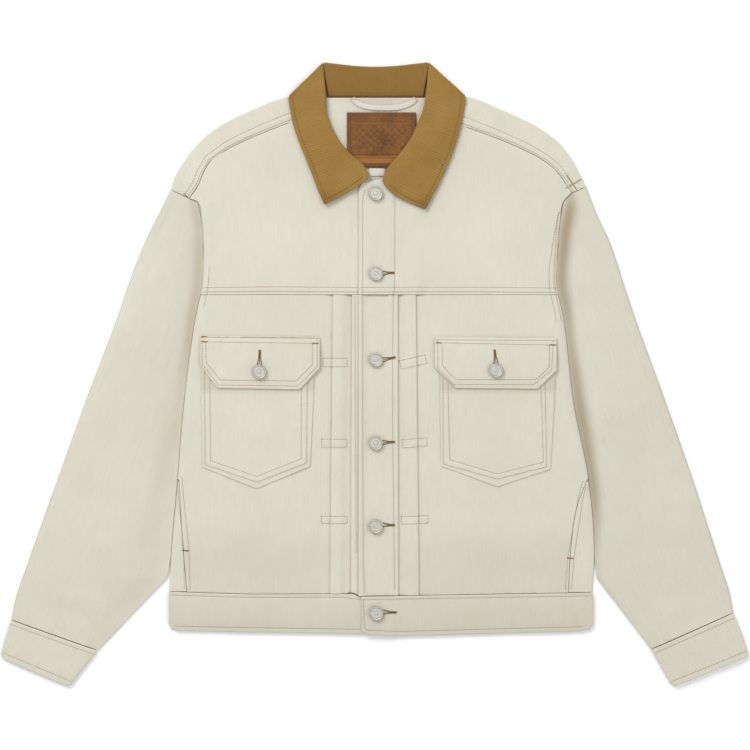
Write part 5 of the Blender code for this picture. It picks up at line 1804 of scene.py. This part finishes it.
def sewAll():
    front = [yokes["left"], fronts["left"]]
    for side in ("right", "left"):
        label = side.title()
        rows = [
            ("yoke", yokeRows[side], [yokes[side]], 3),
            ("shoulder", shoulderRows(side), [backYoke], 5),
            ("armhole", armholeRows(side), [yokes[side], fronts[side]], 6),
            ("side", sideRows[side], [sides[side], fronts[side]], 7),
            ("stay", [stayLine(stay) for stay in stays[side]], [fronts[side]], 9),
            ("pocket", pocketRows(side), [pockets[side]], 11),
            ("flap", flapRows(side), [flaps[side]], 13),
            ("band", bandRows(side), [bands[side]], 15),
            ("cuff", cuffRows(side), [cuffs[side]], 17),
        ]
        for name, lines, pieces, seed in rows:
            sew(name + "Stitches" + label, lines, tanThread, rowStitch, pieces, seed=seed)
        sew("cuffUnderStitches" + label, cuffRows(side), tanThread, rowStitch, [cuffs[side]], under=True,
            seed=19, sink=0.35)
        sew("collarStitches" + label, [collarRow(side)], camelThread, rowStitch, [collars[side]], seed=21)
        sew("flapTacks" + label, barTacks["flap" + label], bronzeThread, tackStitch, [flaps[side]], seed=23)
    sew("frontEdgeStitches", [edgeRow, facingRow], tanThread, rowStitch, front, seed=25)
    sew("underFrontStitches", [rightFacingRow], tanThread, rowStitch, [fronts["right"]], seed=27)
    sew("collarBackStitches", [[(-50.0, 336.8), (2.0, 336.2), (55.0, 336.8)]], camelThread, rowStitch,
        [collars["back"]], seed=29)
    sew("sideTacks", barTacks["sides"], bronzeThread, tackStitch, [sides["right"], sides["left"],
        fronts["right"], fronts["left"]], seed=31)
    sew("shoulderTacks", barTacks["shoulders"], tanThread, tackStitch,
        [backYoke, yokes["right"], yokes["left"], sleeves["right"][0], sleeves["left"][0]], seed=33)
    carriers = front + [bands["left"], flaps["right"], flaps["left"]]
    legs = [leg for start, end in buttonHoles for leg in holeLegs(start, end)]
    sew("buttonHoles", legs, bronzeThread, satinStitch, carriers, seed=35)
    # a near-black thread down each slit is painted shade in the cut
    slits = [[between(np.array(start), np.array(end), t) for t in (0.1, 0.5, 0.96)]
             for start, end in buttonHoles]
    sew("buttonHoleSlits", slits, slitShadeThread, slitStitch, carriers, seed=37, sink=0.0)
    backRows = [[(-200.0, 151.4), (216.0, 151.4)], [(-200.0, 157.4), (216.0, 157.4)]]
    sew("backYokeStitches", backRows, tanThread, rowStitch, [backYoke], under=True, seed=39, sink=0.35)
    bandBack = [[(-240.0, -271.6), (256.0, -271.6)], [(-240.0, -303.6), (256.0, -303.6)]]
    sew("backBandStitches", bandBack, tanThread, rowStitch, [bands["back"]], under=True, seed=41, sink=0.35)


backYoke = makeBackYoke()
backPanel = makeBackPanel()
fronts, yokes, sides, sleeves, cuffs, pockets, flaps = {}, {}, {}, {}, {}, {}, {}
for side in ("right", "left"):
    yokes[side] = makeFrontYoke(side)
    fronts[side] = makeFrontPanel(side)
    sides[side] = makeSidePanel(side)
    sleeves[side] = makeSleeve(side)
    cuffs[side] = makeCuff(side)
    pockets[side] = makePocket(side)
    flaps[side] = makeFlap(side)
bands = makeWaistband()
collars = {side: makeCollarSide(side) for side in ("right", "left")}
collars["back"] = makeCollarBack()
patch, label, loop = makePatch(), makeLabel(), makeLoop()
print("cloth made")
carriers = [yokes["left"], fronts["left"], bands["left"], flaps["right"], flaps["left"]]
for node, (x, y) in buttonPlaces.items():
    makeButton(node, x, y, carriers)
print("buttons made")
sewAll()
print("sewing made")


# Stage

def makeStage():
    scene = bpy.context.scene
    scene.view_settings.view_transform = "Standard"
    floorMesh = bpy.data.meshes.new("floor")
    reach, low = 6.0, -0.0004
    corners = [(-reach, -reach, low), (reach, -reach, low), (reach, reach, low), (-reach, reach, low)]
    floorMesh.from_pydata(corners, [], [(0, 1, 2, 3)])
    floor = bpy.data.objects.new("floor", floorMesh)
    bpy.context.collection.objects.link(floor)
    pale, _, shader = newFinish("paleFloor", 0.9, **{"Specular IOR Level": 0.0})
    shader.inputs["Base Color"].default_value = (0.96, 0.96, 0.96, 1.0)
    floorMesh.materials.append(pale)
    world = bpy.data.worlds.new("studio")
    world.use_nodes = True
    world.node_tree.nodes["Background"].inputs[0].default_value = (1.0, 1.0, 1.0, 1.0)
    world.node_tree.nodes["Background"].inputs[1].default_value = 0.66
    scene.world = world
    for name, place, size, power in (("keyLight", (-1.7, 2.3, 2.9), 1.9, 82.0),
                                     ("fillLight", (3.2, -0.8, 4.8), 5.0, 64.0)):
        lamp = bpy.data.lights.new(name, "AREA")
        lamp.shape = "DISK"
        lamp.size = size
        lamp.energy = power
        made = bpy.data.objects.new(name, lamp)
        made.location = place
        made.rotation_euler = (-Vector(place)).to_track_quat("-Z", "Y").to_euler()
        bpy.context.collection.objects.link(made)
    lens = bpy.data.cameras.new("camera")
    lens.sensor_width = 36.0
    lens.lens = 120.0
    camera = bpy.data.objects.new("camera", lens)
    camera.location = (0.0006, -0.0006, 3.0)       # square above the jacket, 0.9 m wide in view
    bpy.context.collection.objects.link(camera)
    scene.camera = camera


makeStage()
